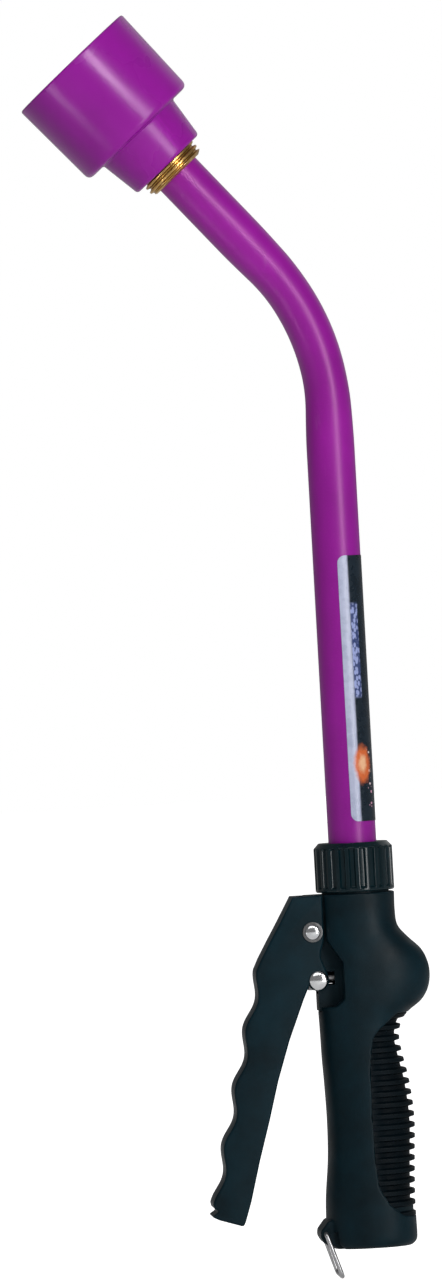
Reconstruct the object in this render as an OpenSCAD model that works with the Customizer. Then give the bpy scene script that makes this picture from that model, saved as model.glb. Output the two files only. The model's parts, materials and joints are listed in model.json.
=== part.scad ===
// Watering wand with a lever valve in the handle and a shower head on a bent tube.
// Frame: +Z runs up the handle, -X points towards the lever, and the tube bends in the plane Y = 0.
// Origin: the centre of the hose inlet's mouth, at the bottom of the handle.

/* [Tube] */
// Outside diameter of the wand tube
tube_d = 19.05; // [16:0.05:23]
// Wall of the wand tube
tube_wall = 1.2; // [0.8:0.1:2]
// Height at which the bend starts
bend_start_z = 330.8; // [230:1:420]
// Radius of the bend at the tube's centre line
bend_r = 90; // [60:1:120]
// Angle of the bend
bend_angle = 41; // [20:1:60]
// Distance from the corner of the two straight axes to the tube's upper end
tube_end_s = 92; // [86:1:150]

/* [Label] */
// Distance from the collar nut to the label's lower edge
label_lift = 8.2; // [1:0.1:30]
// Height of the label
label_h = 105; // [40:1:120]
// Angle of the tube's surface that the label covers
label_angle = 189; // [90:1:200]
// Thickness of the label
label_t = 0.2; // [0.1:0.05:0.4]

/* [Shower head] */
// Radius of the head's body at the face
head_r = 27.65; // [25:0.1:34]
// Length of the head's wide body
head_body_l = 38; // [30:1:60]
// Length of the head's neck
head_neck_l = 17.1; // [16:0.1:30]
// Wall of the neck round the brass thread
neck_wall = 3.45; // [2.5:0.05:5]
// Wall of the head
head_wall = 2.4; // [1.6:0.1:3]
// Taper of the head's body, as the difference of its end radii
head_taper = 0.85; // [0:0.05:2]
// Radius of one spray hole
spray_hole_r = 0.7; // [0.4:0.05:1]
// Number of rings of spray holes
spray_rings = 6; // [3:1:7]
// Thickness of the rose plate
rose_t = 2.6; // [1.6:0.1:4]
// Wall of the brass fitting, from the tube to the thread's crests
nipple_wall = 3.6; // [2.5:0.05:4.5]
// Length of the brass fitting
nipple_l = 14.5; // [13:0.5:20]
// Length of brass thread left showing under the head
nipple_show = 5.5; // [3:0.5:8]

/* [Collar] */
// Wall of the collar nut round its thread
collar_wall = 2.2; // [1.8:0.1:3]
// Height of the collar nut
collar_h = 19.3; // [16:0.1:26]
// Number of flutes round the collar nut
collar_flutes = 24; // [16:1:30]

/* [Handle] */
// Height of the valve's axis above the hose inlet's mouth
stem_z = 106.9; // [85:0.1:135]
// Wall between the handle's surface and the rib pad's seat
pad_depth = 2.6; // [1.5:0.1:3]
// Pitch of the ribs
rib_pitch = 4.35; // [3.5:0.05:6]
// Depth of the grooves between the ribs
rib_depth = 1.2; // [0.5:0.1:1.8]

/* [Lever] */
// Outside width of the lever
lever_w = 18; // [17:0.5:24]
// Wall of the lever's channel
lever_wall = 2.2; // [1.6:0.1:2.6]
// Depth of the finger grooves
finger_depth = 2.8; // [1:0.1:4]
// Side clearance between the lever's cheeks and the web
cheek_gap = 0.6; // [0.3:0.1:1]
// Radius of the pivot pin
pivot_r = 1.95; // [1.5:0.05:2.2]
// Radius of the link pin
link_r = 1.6; // [1.2:0.05:1.8]
// Radial running clearance of pins, stem and holes
run_gap = 0.05; // [0.02:0.01:0.09]

/* [Valve] */
// Radius of the valve stem
stem_r = 2.4; // [2:0.05:3]
// Travel of the valve stem
stem_travel = 4.6; // [3:0.01:5]
// Radius of the valve chamber
chamber_r = 7.8; // [7.4:0.1:8]
// Radius of the opening in the valve seat
seat_bore_r = 4.6; // [3.5:0.1:5]
// Radius of the valve washer
washer_r = 6.1; // [5.6:0.1:6.6]
// Radius of the valve spring's wire
spring_wire_r = 0.45; // [0.3:0.05:0.6]
// Mean radius of the valve spring
spring_r = 4.6; // [4:0.1:5.4]
// Turns of the valve spring
spring_turns = 4; // [3:1:5]

/* [Hose inlet] */
// Radius of the hose thread's bore
inlet_r = 12.3; // [10:0.05:15]
// Length of the hose thread
inlet_l = 9.5; // [8:0.1:10]
// Wall of the threaded insert
insert_wall = 2.65; // [2:0.05:3]

/* [Lock clip] */
// Distance from the clip's pivot to its cross bar
clip_l = 18; // [16:0.1:20]
// Radius of the clip's wire
clip_wire_r = 0.9; // [0.6:0.05:1]
// Side clearance between the clip's legs and the lever
clip_side_gap = 0.5; // [0.3:0.1:2]
// Angle from straight down at which the clip hangs
clip_rest_angle = 18; // [0:1:18]

/* [Hidden] */
$fn = 64;

// Fits shared by several pieces
fit_gap = 0.1;
far = 100;

// Tube
tube_r = tube_d / 2;
tower_r = tube_r + 3.1;
corner_z = bend_start_z + bend_r * tan(bend_angle / 2);
bend_end_s = bend_r * tan(bend_angle / 2);

// Shower head, measured along its own axis from the tube's corner
nipple_r = tube_r + nipple_wall;
neck_r = nipple_r + fit_gap + neck_wall;
nipple_s = tube_end_s - 9;
head_s = nipple_s + nipple_show;
neck_end_s = head_s + head_neck_l;
face_s = neck_end_s + head_body_l;
head_bore_end_s = nipple_s + nipple_l + 2.5;
neck_flare = 2.3;
neck_front_r = neck_r + neck_flare;
passage_r = tube_r + 0.1;
chamber_s = neck_end_s + head_wall;
rose_r = head_r - head_wall;
rose_s = face_s - 1 - rose_t;
rose_seat_s = rose_s - 0.1;
head_cavity_r = rose_r - 1.9;

// Levers, pins and the stem
handle_h = stem_z + 32.9;
tube_seat_z = handle_h - 17.3;
pivot = [-tower_r - 5.875, stem_z + 18.5];
link = pivot + [1.4, -19.2];
cheek_out = lever_w / 2;
cheek_in = cheek_out - lever_wall;
web_half = cheek_in - cheek_gap;
ear_r = 4.2;
washer_t = 0.5;
eye_x = link[0];
eye_l = 3.6;
eye_slot_up = 0.55;

// Stations along the valve's axis
nut_front_x = -8.1;
nut_back_x = -4.6;
oring_back_x = -2.6;
front_chamber_x = -1.4;
seat_x = 6;
seat_lip_x = 8.5;
washer_back_x = 10.7;
holder_back_x = 12.1;
nut_end_x = 14.3;
stem_end_x = 14.8;
cap_x = 21.6;
cap_end_x = 23.2;
packing_r = stem_r + 2.8;
gland_r = packing_r + run_gap;
front_chamber_r = 6.2;
barrel_r = chamber_r + 2;
stem_oring_r = 0.9;

// Valve body
feed_r = 3.6;
feed_wall = 1.6;
feed_low = [2, stem_z - 20.9];
feed_high = [14, stem_z - 6.9];
feed_run = feed_high - feed_low;
feed_lean = atan2(feed_run[0], feed_run[1]);
handle_bore_r = 6.5;
handle_tube_r = 9;
handle_bore_top = stem_z - 14.9;
insert_r = inlet_r + insert_wall;
bell_z = 2.5;
bell_top = 16;
bell_wall = 1.2;
bell_r = insert_r + bell_wall;
outlet_x = 2.3;
outlet_r = 3.5;
outlet_half = 3;
insert_top = inlet_l + 4.5;

// Collar and the parts it squeezes
collar_z = handle_h + 0.7;
thread_r = tube_r + 3.775;
collar_r = thread_r + fit_gap + collar_wall;
thread_top_z = collar_z + 13.5;
label_z = collar_z + collar_h + label_lift;
oring_h = 2.6;
ferrule_z = thread_top_z - 3;

// Clip, as wide as the lever needs
clip_w = lever_w + 2 * (clip_side_gap + clip_wire_r);
clip_pivot = [-bell_r - 3.65, 6.4];
clip_pin_l = 3.5;
lug_half = clip_w / 2 - clip_wire_r - 0.15;

// Handle outline: height, front, rear and half width. The bottom follows the inlet's bell and the clip, the
// heights of the hand's part are shares of the valve's height, and the ball and the top follow the valve and
// the tube.
hand_z = (stem_z - 20) / 86.9;
foot = max(bell_r + 1.15, clip_w / 2 + 6.9);
GRIP = [[0, -bell_r - 0.45, bell_r - 1.15, foot - 1.9], [1, -bell_r - 1.65, bell_r + 0.05, foot - 0.7],
    [2.6, -bell_r - 2.35, bell_r + 0.85, foot], [10, -bell_r - 2.45, bell_r + 0.85, foot],
    [20, -bell_r - 2.05, bell_r + 0.95, foot - 0.1],
    [35 * hand_z, -16.6, 17.8, 16.8], [50 * hand_z, -16.1, 18.5, 16.4], [65 * hand_z, -16.4, 17.2, 16],
    [75 * hand_z, -16.8, 15.2, 15.6], [82 * hand_z, -16.9, 14.2, 15.4],
    [stem_z - 18.9, -17, 15.4, 15.6], [stem_z - 14.9, -17.1, 18.4, 16], [stem_z - 10.9, -17.2, 23.7, 16.4],
    [stem_z - 5.9, -17.2, 26.8, 16.7], [stem_z + 0.6, -17.1, 27.7, 16.8], [stem_z + 6.1, -16.6, 26.5, 16.6],
    [stem_z + 10.1, -16.2, 24.2, 16.2], [stem_z + 14.1, -15.8, 20.1, 15.9],
    [stem_z + 19.1, -tower_r - 2.8, tower_r + 3.4, tower_r + 2.9],
    [stem_z + 25.1, -tower_r - 2.4, tower_r + 2.6, tower_r + 2.6],
    [handle_h, -tower_r - 2.2, tower_r + 2.7, tower_r + 2.6]];
grip_sides = 36;
grip_power = 2.4;

// Border of the rib pad seen from the side: x, z
pad_top_z = stem_z - 15.2;
PAD = [[40, pad_top_z], [12.6, pad_top_z], [5.1, pad_top_z - 6.1], [2.5, pad_top_z - 9],
    [0.8, pad_top_z - 20.1], [0.4, 50.6 * hand_z], [0.7, 32.8], [1.7, 23.6], [5.3, 17], [11.1, 12],
    [40, 9.5]];

// Pocket in the handle's sides for the lever's cheeks: x, z
POCKET = [[-40, stem_z - 11.4], [-11, stem_z - 11.4], [-7.6, stem_z - 8.4], [-7.6, stem_z + 6.1],
    [-tower_r - 0.6, stem_z + 15.1], [-tower_r - 0.6, handle_h + 5], [-40, handle_h + 5]];

// Web of the valve body between the lever's cheeks: x, z
WEB = [[-17.2, stem_z - 12.9], [-17.2, stem_z + 5.9], [pivot[0] - 2, stem_z + 8.6],
    [pivot[0] - 4.7, stem_z + 12.6], [pivot[0] - 4.7, stem_z + 24.1], [pivot[0] - 1.9, handle_h],
    [0, handle_h], [0, stem_z - 12.9]];

// Lever: its outline is given from the pivot, and the finger grooves run from the first crest to the last
crest_top = pivot + [-23.1, -13.9];
crest_end = pivot + [-45.1, -104.8];
groove_count = 4;
groove_steps = 12;

// ---------- helpers ----------

// Solid cylinder along X from x0 to x1 at height z
module rod_x(x0, x1, r, z = stem_z) {
    translate([x0, 0, z])
        rotate([0, 90, 0])
            cylinder(h = x1 - x0, r = r);
}

// Ring along X
module ring_x(x0, x1, r_out, r_in, z = stem_z) {
    difference() {
        rod_x(x0, x1, r_out, z);
        rod_x(x0 - 1, x1 + 1, r_in, z);
    }
}

// Solid cylinder along Y from y0 to y1 at the point p in the plane Y = 0
module rod_y(p, y0, y1, r) {
    translate([p[0], y0, p[1]])
        rotate([-90, 0, 0])
            cylinder(h = y1 - y0, r = r);
}

// Ring along Z
module ring_z(z0, z1, r_out, r_in) {
    difference() {
        translate([0, 0, z0])
            cylinder(h = z1 - z0, r = r_out);
        translate([0, 0, z0 - 1])
            cylinder(h = z1 - z0 + 2, r = r_in);
    }
}

// Solid torus about Z
module torus_z(z, ring_r, wire_r) {
    translate([0, 0, z])
        rotate_extrude()
            translate([ring_r, 0])
                circle(r = wire_r);
}

// Outline in X and Z, extruded to half_y on each side of the plane Y = 0
module slab(points, half_y) {
    translate([0, half_y, 0])
        rotate([90, 0, 0])
            linear_extrude(height = 2 * half_y)
                polygon(points);
}

// Places its children on the head's axis, s beyond the corner of the two straight axes
module on_head(s) {
    translate([0, 0, corner_z])
        rotate([0, -bend_angle, 0])
            translate([0, 0, s])
                children();
}

// Points of an arc in a profile
function arc(cx, cy, r, a0, a1, n = 5) =
    [for (i = [0:n]) [cx + r * cos(a0 + (a1 - a0) * i / n), cy + r * sin(a0 + (a1 - a0) * i / n)]];

// Smooth curve through a column of knots at height z
function knot_at(z, i = 0) = i >= len(GRIP) - 2 || z < GRIP[i + 1][0] ? i : knot_at(z, i + 1);
function slope(i, c) = i <= 0 || i >= len(GRIP) - 1
    ? 0
    : (GRIP[i + 1][c] - GRIP[i - 1][c]) / (GRIP[i + 1][0] - GRIP[i - 1][0]);
function hermite(a, b, ma, mb, h, t) = (2 * pow(t, 3) - 3 * t * t + 1) * a
    + (pow(t, 3) - 2 * t * t + t) * h * ma
    + (3 * t * t - 2 * pow(t, 3)) * b
    + (pow(t, 3) - t * t) * h * mb;
function grip_value(z, c) = let (i = knot_at(z), h = GRIP[i + 1][0] - GRIP[i][0])
    hermite(GRIP[i][c], GRIP[i + 1][c], slope(i, c), slope(i + 1, c), h, (z - GRIP[i][0]) / h);

// One section of the handle at height z, moved in by inset
function power(v, p) = sign(v) * pow(abs(v), p);
function grip_section(z, inset) = [for (k = [0:grip_sides - 1])
    let (a = 360 * k / grip_sides,
        reach = cos(a) > 0 ? grip_value(z, 2) - inset : -grip_value(z, 1) - inset)
    [reach * power(cos(a), 2 / grip_power),
        (grip_value(z, 3) - inset) * power(sin(a), 2 / grip_power), z]];

// Closed solid through a list of sections with the same number of points
module loft(sections) {
    n = len(sections[0]);
    rows = len(sections);
    points = [for (s = sections) for (p = s) p];
    sides = [for (r = [0:rows - 2]) for (k = [0:n - 1])
        [r * n + k, r * n + (k + 1) % n, (r + 1) * n + (k + 1) % n, (r + 1) * n + k]];
    bottom = [for (k = [0:n - 1]) n - 1 - k];
    top = [for (k = [0:n - 1]) (rows - 1) * n + k];
    faces = [for (f = concat(sides, [bottom, top])) [for (i = [len(f) - 1:-1:0]) f[i]]];
    polyhedron(points = points, faces = faces);
}

// Heights at which the handle's sections lie
foot_levels = [0, 0.5, 1.2, 2.6, 6, 10, 15, 20];
hand_levels = [27, 35, 42, 50, 58, 65, 70, 75, 79, 82] * hand_z;
valve_levels = [-21.9, -18.9, -16.9, -14.9, -12.9, -10.9, -8.4, -5.9, -2.9, 0.6, 3.6, 6.1, 8.1, 10.1, 12.1,
    14.1, 16.6, 19.1, 22.1, 25.1, 29.1];
grip_levels = concat(foot_levels, hand_levels, [for (dz = valve_levels) stem_z + dz], [handle_h]);

module grip_blank(inset = 0) {
    loft([for (z = grip_levels) grip_section(z, inset)]);
}

// ---------- tube ----------

module wand_tube() {
    inner_r = tube_r - tube_wall;
    color("darkmagenta")
        union() {
            ring_z(tube_seat_z, bend_start_z, tube_r, inner_r);
            translate([-bend_r, 0, bend_start_z])
                rotate([90, 0, 0])
                    rotate_extrude(angle = bend_angle)
                        translate([bend_r, 0])
                            difference() {
                                circle(r = tube_r);
                                circle(r = inner_r);
                            }
            on_head(0)
                ring_z(bend_end_s, tube_end_s, tube_r, inner_r);
        }
}

module tube_label() {
    label_gap = 0.02;
    color("black")
        translate([0, 0, label_z])
            rotate([0, 0, -label_angle / 2])
                rotate_extrude(angle = label_angle)
                    translate([tube_r + label_gap, 0])
                        square([label_t, label_h]);
}

module tube_oring() {
    color("dimgray")
        ring_z(ferrule_z - oring_h - 0.1, ferrule_z - 0.1, tube_r + 1.9, tube_r + run_gap);
}

module tube_ferrule() {
    color("white")
        difference() {
            translate([0, 0, ferrule_z])
                cylinder(h = 3.4, r1 = tube_r + 1.9, r2 = tube_r + 1);
            translate([0, 0, ferrule_z - 1])
                cylinder(h = 6, r = tube_r + run_gap);
        }
}

module collar_nut() {
    lip_z = thread_top_z + 0.6;
    chamfer = 2;
    flute_r = 0.55;
    color("black")
        difference() {
            rotate_extrude()
                polygon([[tube_r + 0.15, lip_z], [thread_r + fit_gap, lip_z], [thread_r + fit_gap, collar_z],
                    [collar_r - 0.5, collar_z], [collar_r, collar_z + 0.5],
                    [collar_r, collar_z + collar_h - chamfer], [collar_r - chamfer, collar_z + collar_h],
                    [tube_r + 0.15, collar_z + collar_h]]);
            for (i = [0:collar_flutes - 1])
                rotate([0, 0, 360 * (i + 0.5) / collar_flutes])
                    translate([collar_r + 0.1, 0, collar_z + 2.2])
                        cylinder(h = collar_h, r = flute_r);
        }
}

// ---------- shower head ----------

module brass_nipple() {
    shoulder_r = tube_r - tube_wall;
    color("gold")
        on_head(0)
            rotate_extrude()
                polygon([[tube_r + run_gap, nipple_s], [nipple_r - 0.8, nipple_s], [nipple_r, nipple_s + 0.8],
                    [nipple_r, nipple_s + nipple_l], [shoulder_r, nipple_s + nipple_l],
                    [shoulder_r, tube_end_s + fit_gap], [tube_r + run_gap, tube_end_s + fit_gap]]);
}

module head_washer() {
    color("dimgray")
        on_head(0)
            ring_z(nipple_s + nipple_l + 0.1, head_bore_end_s - 0.1, nipple_r - 0.2, tube_r - tube_wall);
}

module head_body() {
    body_rear_r = head_r - head_taper;
    neck_round = 1.6;
    body_round = 2.2;
    bore_r = nipple_r + fit_gap;
    color("darkorchid")
        on_head(0)
            rotate_extrude()
                polygon(concat(
                    [[bore_r, head_s]],
                    arc(neck_r - neck_round, head_s + neck_round, neck_round, -90, 0),
                    [[neck_front_r, neck_end_s]],
                    arc(body_rear_r - body_round, neck_end_s + body_round, body_round, -90, 0),
                    [[head_r, face_s - 0.6], [head_r - 0.6, face_s], [rose_r + fit_gap, face_s],
                        [rose_r + fit_gap, rose_seat_s], [head_cavity_r, rose_seat_s],
                        [head_cavity_r, chamber_s + 5], [head_cavity_r - 5, chamber_s],
                        [passage_r, chamber_s], [passage_r, head_bore_end_s], [bore_r, head_bore_end_s]]));
}

// Round plate on the head's axis with rings of holes
module drilled_disc(s, t, r, rings, pitch, hole_r) {
    on_head(s)
        difference() {
            cylinder(h = t, r = r);
            translate([0, 0, -1])
                cylinder(h = t + 2, r = hole_r);
            for (ring = [1:rings])
                for (i = [0:6 * ring - 1])
                    rotate([0, 0, 60 * i / ring])
                        translate([ring * pitch, 0, -1])
                            cylinder(h = t + 2, r = hole_r);
        }
}

module head_screen() {
    color("silver")
        drilled_disc(head_bore_end_s + 0.5, 0.6, passage_r - fit_gap, 3, 2.6, 0.8);
}

module diffuser_disc() {
    color("gainsboro")
        drilled_disc(chamber_s + 12, 1.6, head_cavity_r - fit_gap, 3, 6, 1.8);
}

module face_oring() {
    wire_r = 0.8;
    groove_r = head_cavity_r - wire_r - fit_gap;
    color("dimgray")
        on_head(0)
            torus_z(rose_s - wire_r - 0.05, groove_r, wire_r);
}

module rose_plate() {
    hole_pitch = (rose_r - 3.2) / spray_rings;
    color("mediumorchid")
        drilled_disc(rose_s, rose_t, rose_r, spray_rings, hole_pitch, spray_hole_r);
}

// ---------- valve body and handle ----------

// Outer shape of the valve body, grown by gap for the space that it needs
module valve_envelope(gap = 0) {
    union() {
        translate([0, 0, bell_z - gap])
            cylinder(h = bell_top - bell_z + 2 * gap, r = bell_r + gap);
        translate([0, 0, bell_z])
            cylinder(h = handle_bore_top + 4 - bell_z + gap, r = handle_tube_r + gap);
        translate([feed_low[0], 0, feed_low[1]])
            rotate([0, feed_lean, 0])
                cylinder(h = norm(feed_run) + gap, r = feed_r + feed_wall + gap);
        rod_x(nut_front_x + 0.5, cap_x + gap, barrel_r + gap);
        translate([0, 0, stem_z])
            cylinder(h = handle_h - stem_z + gap + 0.2, r = tower_r + gap);
    }
}

module water_ways() {
    // inlet bell and the bore up the handle
    translate([0, 0, -1])
        cylinder(h = insert_top + 1.1, r = insert_r + run_gap);
    translate([0, 0, insert_top])
        cylinder(h = handle_bore_top - insert_top, r = handle_bore_r);
    // feed to the rear chamber
    translate([feed_low[0], 0, feed_low[1]])
        rotate([0, feed_lean, 0])
            cylinder(h = norm(feed_run) + 2, r = feed_r);
    // chambers, seat and gland along the valve's axis
    rod_x(seat_x, cap_x + 1, chamber_r);
    rod_x(front_chamber_x, seat_x + 0.1, front_chamber_r);
    rod_x(oring_back_x - 0.1, front_chamber_x + 0.1, stem_r + run_gap + 0.05);
    rod_x(nut_front_x - 1, oring_back_x, gland_r);
    // outlet slot up to the tube, and the tube's socket
    translate([outlet_x, 0, stem_z])
        linear_extrude(height = tube_seat_z - stem_z + 0.1)
            union() {
                square([2 * outlet_r, 2 * outlet_half], center = true);
                translate([0, outlet_half])
                    circle(r = outlet_r);
                translate([0, -outlet_half])
                    circle(r = outlet_r);
            }
    translate([0, 0, tube_seat_z - 0.1])
        cylinder(h = far, r = tube_r + fit_gap);
    translate([0, 0, ferrule_z - oring_h - 0.2])
        cylinder(h = far, r = tube_r + 2);
}

module valve_body() {
    slot_h = link_r + 0.5;
    slot_end_x = link[0] + stem_travel + link_r + 0.4;
    bush_r = pivot_r + 1.3;
    color("darkslategray")
        difference() {
            union() {
                difference() {
                    union() {
                        valve_envelope();
                        translate([0, 0, handle_h])
                            cylinder(h = thread_top_z - handle_h, r = thread_r);
                    }
                    // room for the lever's cheeks on both sides
                    for (side = [-1, 1])
                        translate([0, side * (web_half + 10), 0])
                            slab(POCKET, 10);
                }
                slab(WEB, web_half);
            }
            water_ways();
            // space for the stem's eye, with a slot in each wall for the link pin
            translate([-far, -eye_l - 0.6, stem_z - 6.3])
                cube([far + nut_front_x, 2 * eye_l + 1.2, 12.6]);
            translate([-far, -far / 2, link[1] - slot_h])
                cube([far + slot_end_x, far, 2 * slot_h + 1.1]);
            rod_y(pivot, -far, far, bush_r);
        }
}

module lug_blank() {
    translate([clip_pivot[0], 0, 0])
        slab([[5, 1.4], [1.2, 1.4], [-0.8, 2.6], [-2.1, 5], [-2, 7.4], [1.2, 11.4], [5, 11.4]], lug_half);
}

module grip_cover() {
    gap = fit_gap;
    slot_w = 2 * clip_wire_r + 0.8;
    color([0.1, 0.15, 0.16])
        difference() {
            union() {
                difference() {
                    grip_blank();
                    // slots for the clip's legs
                    for (side = [-1, 1])
                        translate([clip_pivot[0] - 5.2, side * clip_w / 2 - slot_w / 2, -3])
                            cube([13.2, slot_w, clip_pivot[1] + 6.4]);
                }
                difference() {
                    lug_blank();
                    translate([0, 0, -1])
                        cylinder(h = 20, r = bell_r);
                }
            }
            valve_envelope(gap);
            slab([for (p = WEB) [p[0] + (p[0] < 0 ? -2 : gap), p[1] + (p[1] < stem_z - 6 ? -gap : 1)]],
                web_half + gap);
            slab(POCKET, far);
            translate([0, 0, -1])
                cylinder(h = 6, r = insert_r + run_gap);
            rod_x(cap_x - 0.1, cap_end_x + 0.1, chamber_r + 0.9);
            difference() {
                slab(PAD, far);
                grip_blank(pad_depth + gap);
            }
            rod_y(clip_pivot, -clip_w / 2, clip_w / 2, clip_wire_r + run_gap);
        }
}

// The pad's sections: a crest and a groove for each pitch
module rib_pad() {
    first = 8;
    last = stem_z - 12.9;
    count = floor((last - first) / (rib_pitch / 2));
    levels = [for (i = [0:count]) first + i * rib_pitch / 2];
    color([0.05, 0.06, 0.07])
        difference() {
            intersection() {
                loft([for (i = [0:count]) grip_section(levels[i], i % 2 == 0 ? rib_depth : 0)]);
                slab(PAD, far);
            }
            grip_blank(pad_depth);
            valve_envelope(fit_gap);
        }
}

// ---------- hose inlet ----------

module inlet_insert() {
    color("goldenrod")
        rotate_extrude()
            polygon([[inlet_r, 0], [insert_r, 0], [insert_r, insert_top], [7.6, insert_top],
                [7.6, insert_top - 1.5], [inlet_r + 0.4, insert_top - 1.5], [inlet_r + 0.4, inlet_l],
                [inlet_r, inlet_l]]);
}

module hose_washer() {
    color("dimgray")
        ring_z(inlet_l + 0.1, inlet_l + 2.3, inlet_r + 0.3, 7.8);
}

module inlet_screen() {
    rings = 3;
    color("silver")
        difference() {
            translate([0, 0, inlet_l + 2.4])
                cylinder(h = 0.5, r = inlet_r + 0.2);
            for (ring = [1:rings])
                for (i = [0:6 * ring - 1])
                    rotate([0, 0, 60 * i / ring])
                        translate([ring * 2, 0, inlet_l])
                            cylinder(h = 5, r = 0.6);
        }
}

// ---------- valve works ----------

module pivot_bush() {
    color("khaki")
        difference() {
            rod_y(pivot, -web_half, web_half, pivot_r + 1.25);
            rod_y(pivot, -far, far, pivot_r + run_gap);
        }
}

module packing_nut() {
    color("goldenrod")
        difference() {
            ring_x(nut_front_x, nut_back_x, packing_r, stem_r + run_gap);
            translate([nut_front_x - 0.5, -0.6, stem_z - 8])
                cube([1.5, 1.2, 16]);
        }
}

module stem_oring() {
    mid_x = (nut_back_x + oring_back_x) / 2;
    color("dimgray")
        translate([mid_x, 0, stem_z])
            rotate([0, 90, 0])
                torus_z(0, stem_r + run_gap + stem_oring_r, stem_oring_r);
}

module seat_ring() {
    color("gold")
        translate([0, 0, stem_z])
            rotate([0, 90, 0])
                rotate_extrude()
                    polygon([[seat_bore_r, seat_x + 0.05], [chamber_r - 0.05, seat_x + 0.05],
                        [chamber_r - 0.05, seat_lip_x - 0.9], [seat_bore_r + 1, seat_lip_x - 0.9],
                        [seat_bore_r + 0.6, seat_lip_x - 0.05], [seat_bore_r, seat_lip_x - 0.05]]);
}

module spring_cap() {
    skirt_r = chamber_r - 0.1;
    skirt_x = 19.2;
    groove_x = 20;
    groove_w = 1.1;
    color("goldenrod")
        translate([0, 0, stem_z])
            rotate([0, 90, 0])
                rotate_extrude()
                    polygon([[skirt_r - 2, skirt_x], [skirt_r, skirt_x], [skirt_r, groove_x],
                        [skirt_r - 1, groove_x], [skirt_r - 1, groove_x + groove_w],
                        [skirt_r, groove_x + groove_w], [skirt_r, cap_x + 0.1],
                        [chamber_r + 0.8, cap_x + 0.1], [chamber_r + 0.8, cap_end_x], [0, cap_end_x],
                        [0, cap_x], [skirt_r - 2, cap_x]]);
}

module cap_oring() {
    color("dimgray")
        translate([20.55, 0, stem_z])
            rotate([0, 90, 0])
                torus_z(0, chamber_r - 0.55, 0.5);
}

module valve_spring() {
    sides = 8;
    per_turn = 16;
    x0 = holder_back_x + spring_wire_r + 0.1;
    x1 = cap_x - spring_wire_r - 0.1;
    steps = spring_turns * per_turn;
    color("silver")
        translate([0, 0, stem_z])
            loft([for (i = [0:steps])
                let (a = 360 * i / per_turn, x = x0 + (x1 - x0) * i / steps)
                [for (k = [0:sides - 1])
                    let (b = -360 * k / sides, r = spring_r + spring_wire_r * cos(b))
                    [x + spring_wire_r * sin(b), r * cos(a), r * sin(a)]]]);
}

module valve_stem() {
    shank_r = 1.6;
    slot_r = link_r + 0.12;
    eye_half_h = 4.6;
    color("silver")
        difference() {
            union() {
                rod_x(eye_x, seat_lip_x, stem_r);
                rod_x(seat_lip_x - 0.1, stem_end_x, shank_r);
                translate([eye_x - 3.6, -eye_l, stem_z - eye_half_h])
                    cube([7.1, 2 * eye_l, 2 * eye_half_h]);
            }
            for (up = [0, 1])
                rod_y([eye_x, link[1] - 0.15 + up * (2 * eye_slot_up + 0.25)], -10, 10, slot_r);
            translate([eye_x - slot_r, -10, link[1] - 0.15])
                cube([2 * slot_r, 20, 2 * eye_slot_up + 0.25]);
        }
}

module valve_washer() {
    color("dimgray")
        ring_x(seat_lip_x + 0.02, washer_back_x, washer_r, 1.65);
}

module washer_holder() {
    color("gold")
        ring_x(washer_back_x + 0.02, holder_back_x, washer_r + 0.3, 1.65);
}

module stem_nut() {
    color("silver")
        difference() {
            translate([holder_back_x + 0.02, 0, stem_z])
                rotate([0, 90, 0])
                    cylinder(h = nut_end_x - holder_back_x, r = 3.2, $fn = 6);
            rod_x(holder_back_x - 1, nut_end_x + 1, 1.65);
        }
}

// ---------- lever ----------

// Front edge of the lever with its finger grooves, from the first crest to the last
groove_run = crest_end - crest_top;
groove_out = [groove_run[1], -groove_run[0]] / norm(groove_run);
function groove_point(t) = crest_top + t * groove_run
    - groove_out * finger_depth / 2 * (1 - cos(360 * groove_count * t));
FINGERS = [for (i = [0:groove_count * groove_steps]) groove_point(i / (groove_count * groove_steps))];
function from_pivot(points) = [for (p = points) p + pivot];
LEVER_FRONT = concat(from_pivot([[-7.1, 14.2], [-12.8, 4.3], [-16.8, -2.4], [-21.1, -9.8]]), FINGERS,
    from_pivot([[-44.8, -106.4], [-43.1, -107.8], [-45.9, -109.7]]));
LEVER_REAR = from_pivot([[-43, -111.2], [-33.5, -114.3], [-32.5, -112.3], [-29.9, -104.5], [-25.7, -88.9],
    [-21, -73.3], [-16.7, -57.8], [-11.4, -42.2], [-5.1, -26.8], [-2.7, -20.4], [5.3, -17.9], [2.4, -9.4],
    [4.4, -3.4], [4.5, 14.2]]);

module lever() {
    floor_t = lever_wall * 1.1;
    inner = [for (p = LEVER_FRONT) p + [floor_t, 0]];
    color([0.08, 0.12, 0.13])
        difference() {
            union() {
                slab(concat(LEVER_FRONT, LEVER_REAR), cheek_out);
                rod_y(link, -cheek_out, cheek_out, ear_r);
            }
            slab(concat(from_pivot([[-1.5, 25], [floor_t - 7.1, 25]]), inner, from_pivot(
                [[-41.5, -109.5], [-38.5, -110.4], [-36.5, -118], [19, -118], [19, 25]])), cheek_in);
            rod_y(pivot, -far, far, pivot_r + 0.02);
            rod_y(link, -far, far, link_r + 0.02);
        }
}

// Headed pin along Y through the point p
module headed_pin(p, r, dome_r, dome_h, seat_y) {
    ball_r = (dome_r * dome_r + dome_h * dome_h) / (2 * dome_h);
    union() {
        rod_y(p, -seat_y - 0.05, seat_y + 0.05, r);
        for (side = [-1, 1])
            intersection() {
                translate([p[0], side * (seat_y + dome_h - ball_r), p[1]])
                    sphere(r = ball_r);
                rod_y(p, min(side * seat_y, side * (seat_y + 5)), max(side * seat_y, side * (seat_y + 5)),
                    dome_r * 1.2);
            }
    }
}

module pivot_pin() {
    color("silver")
        headed_pin(pivot, pivot_r, 3, 1.3, cheek_out + washer_t + 0.02);
}

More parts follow.
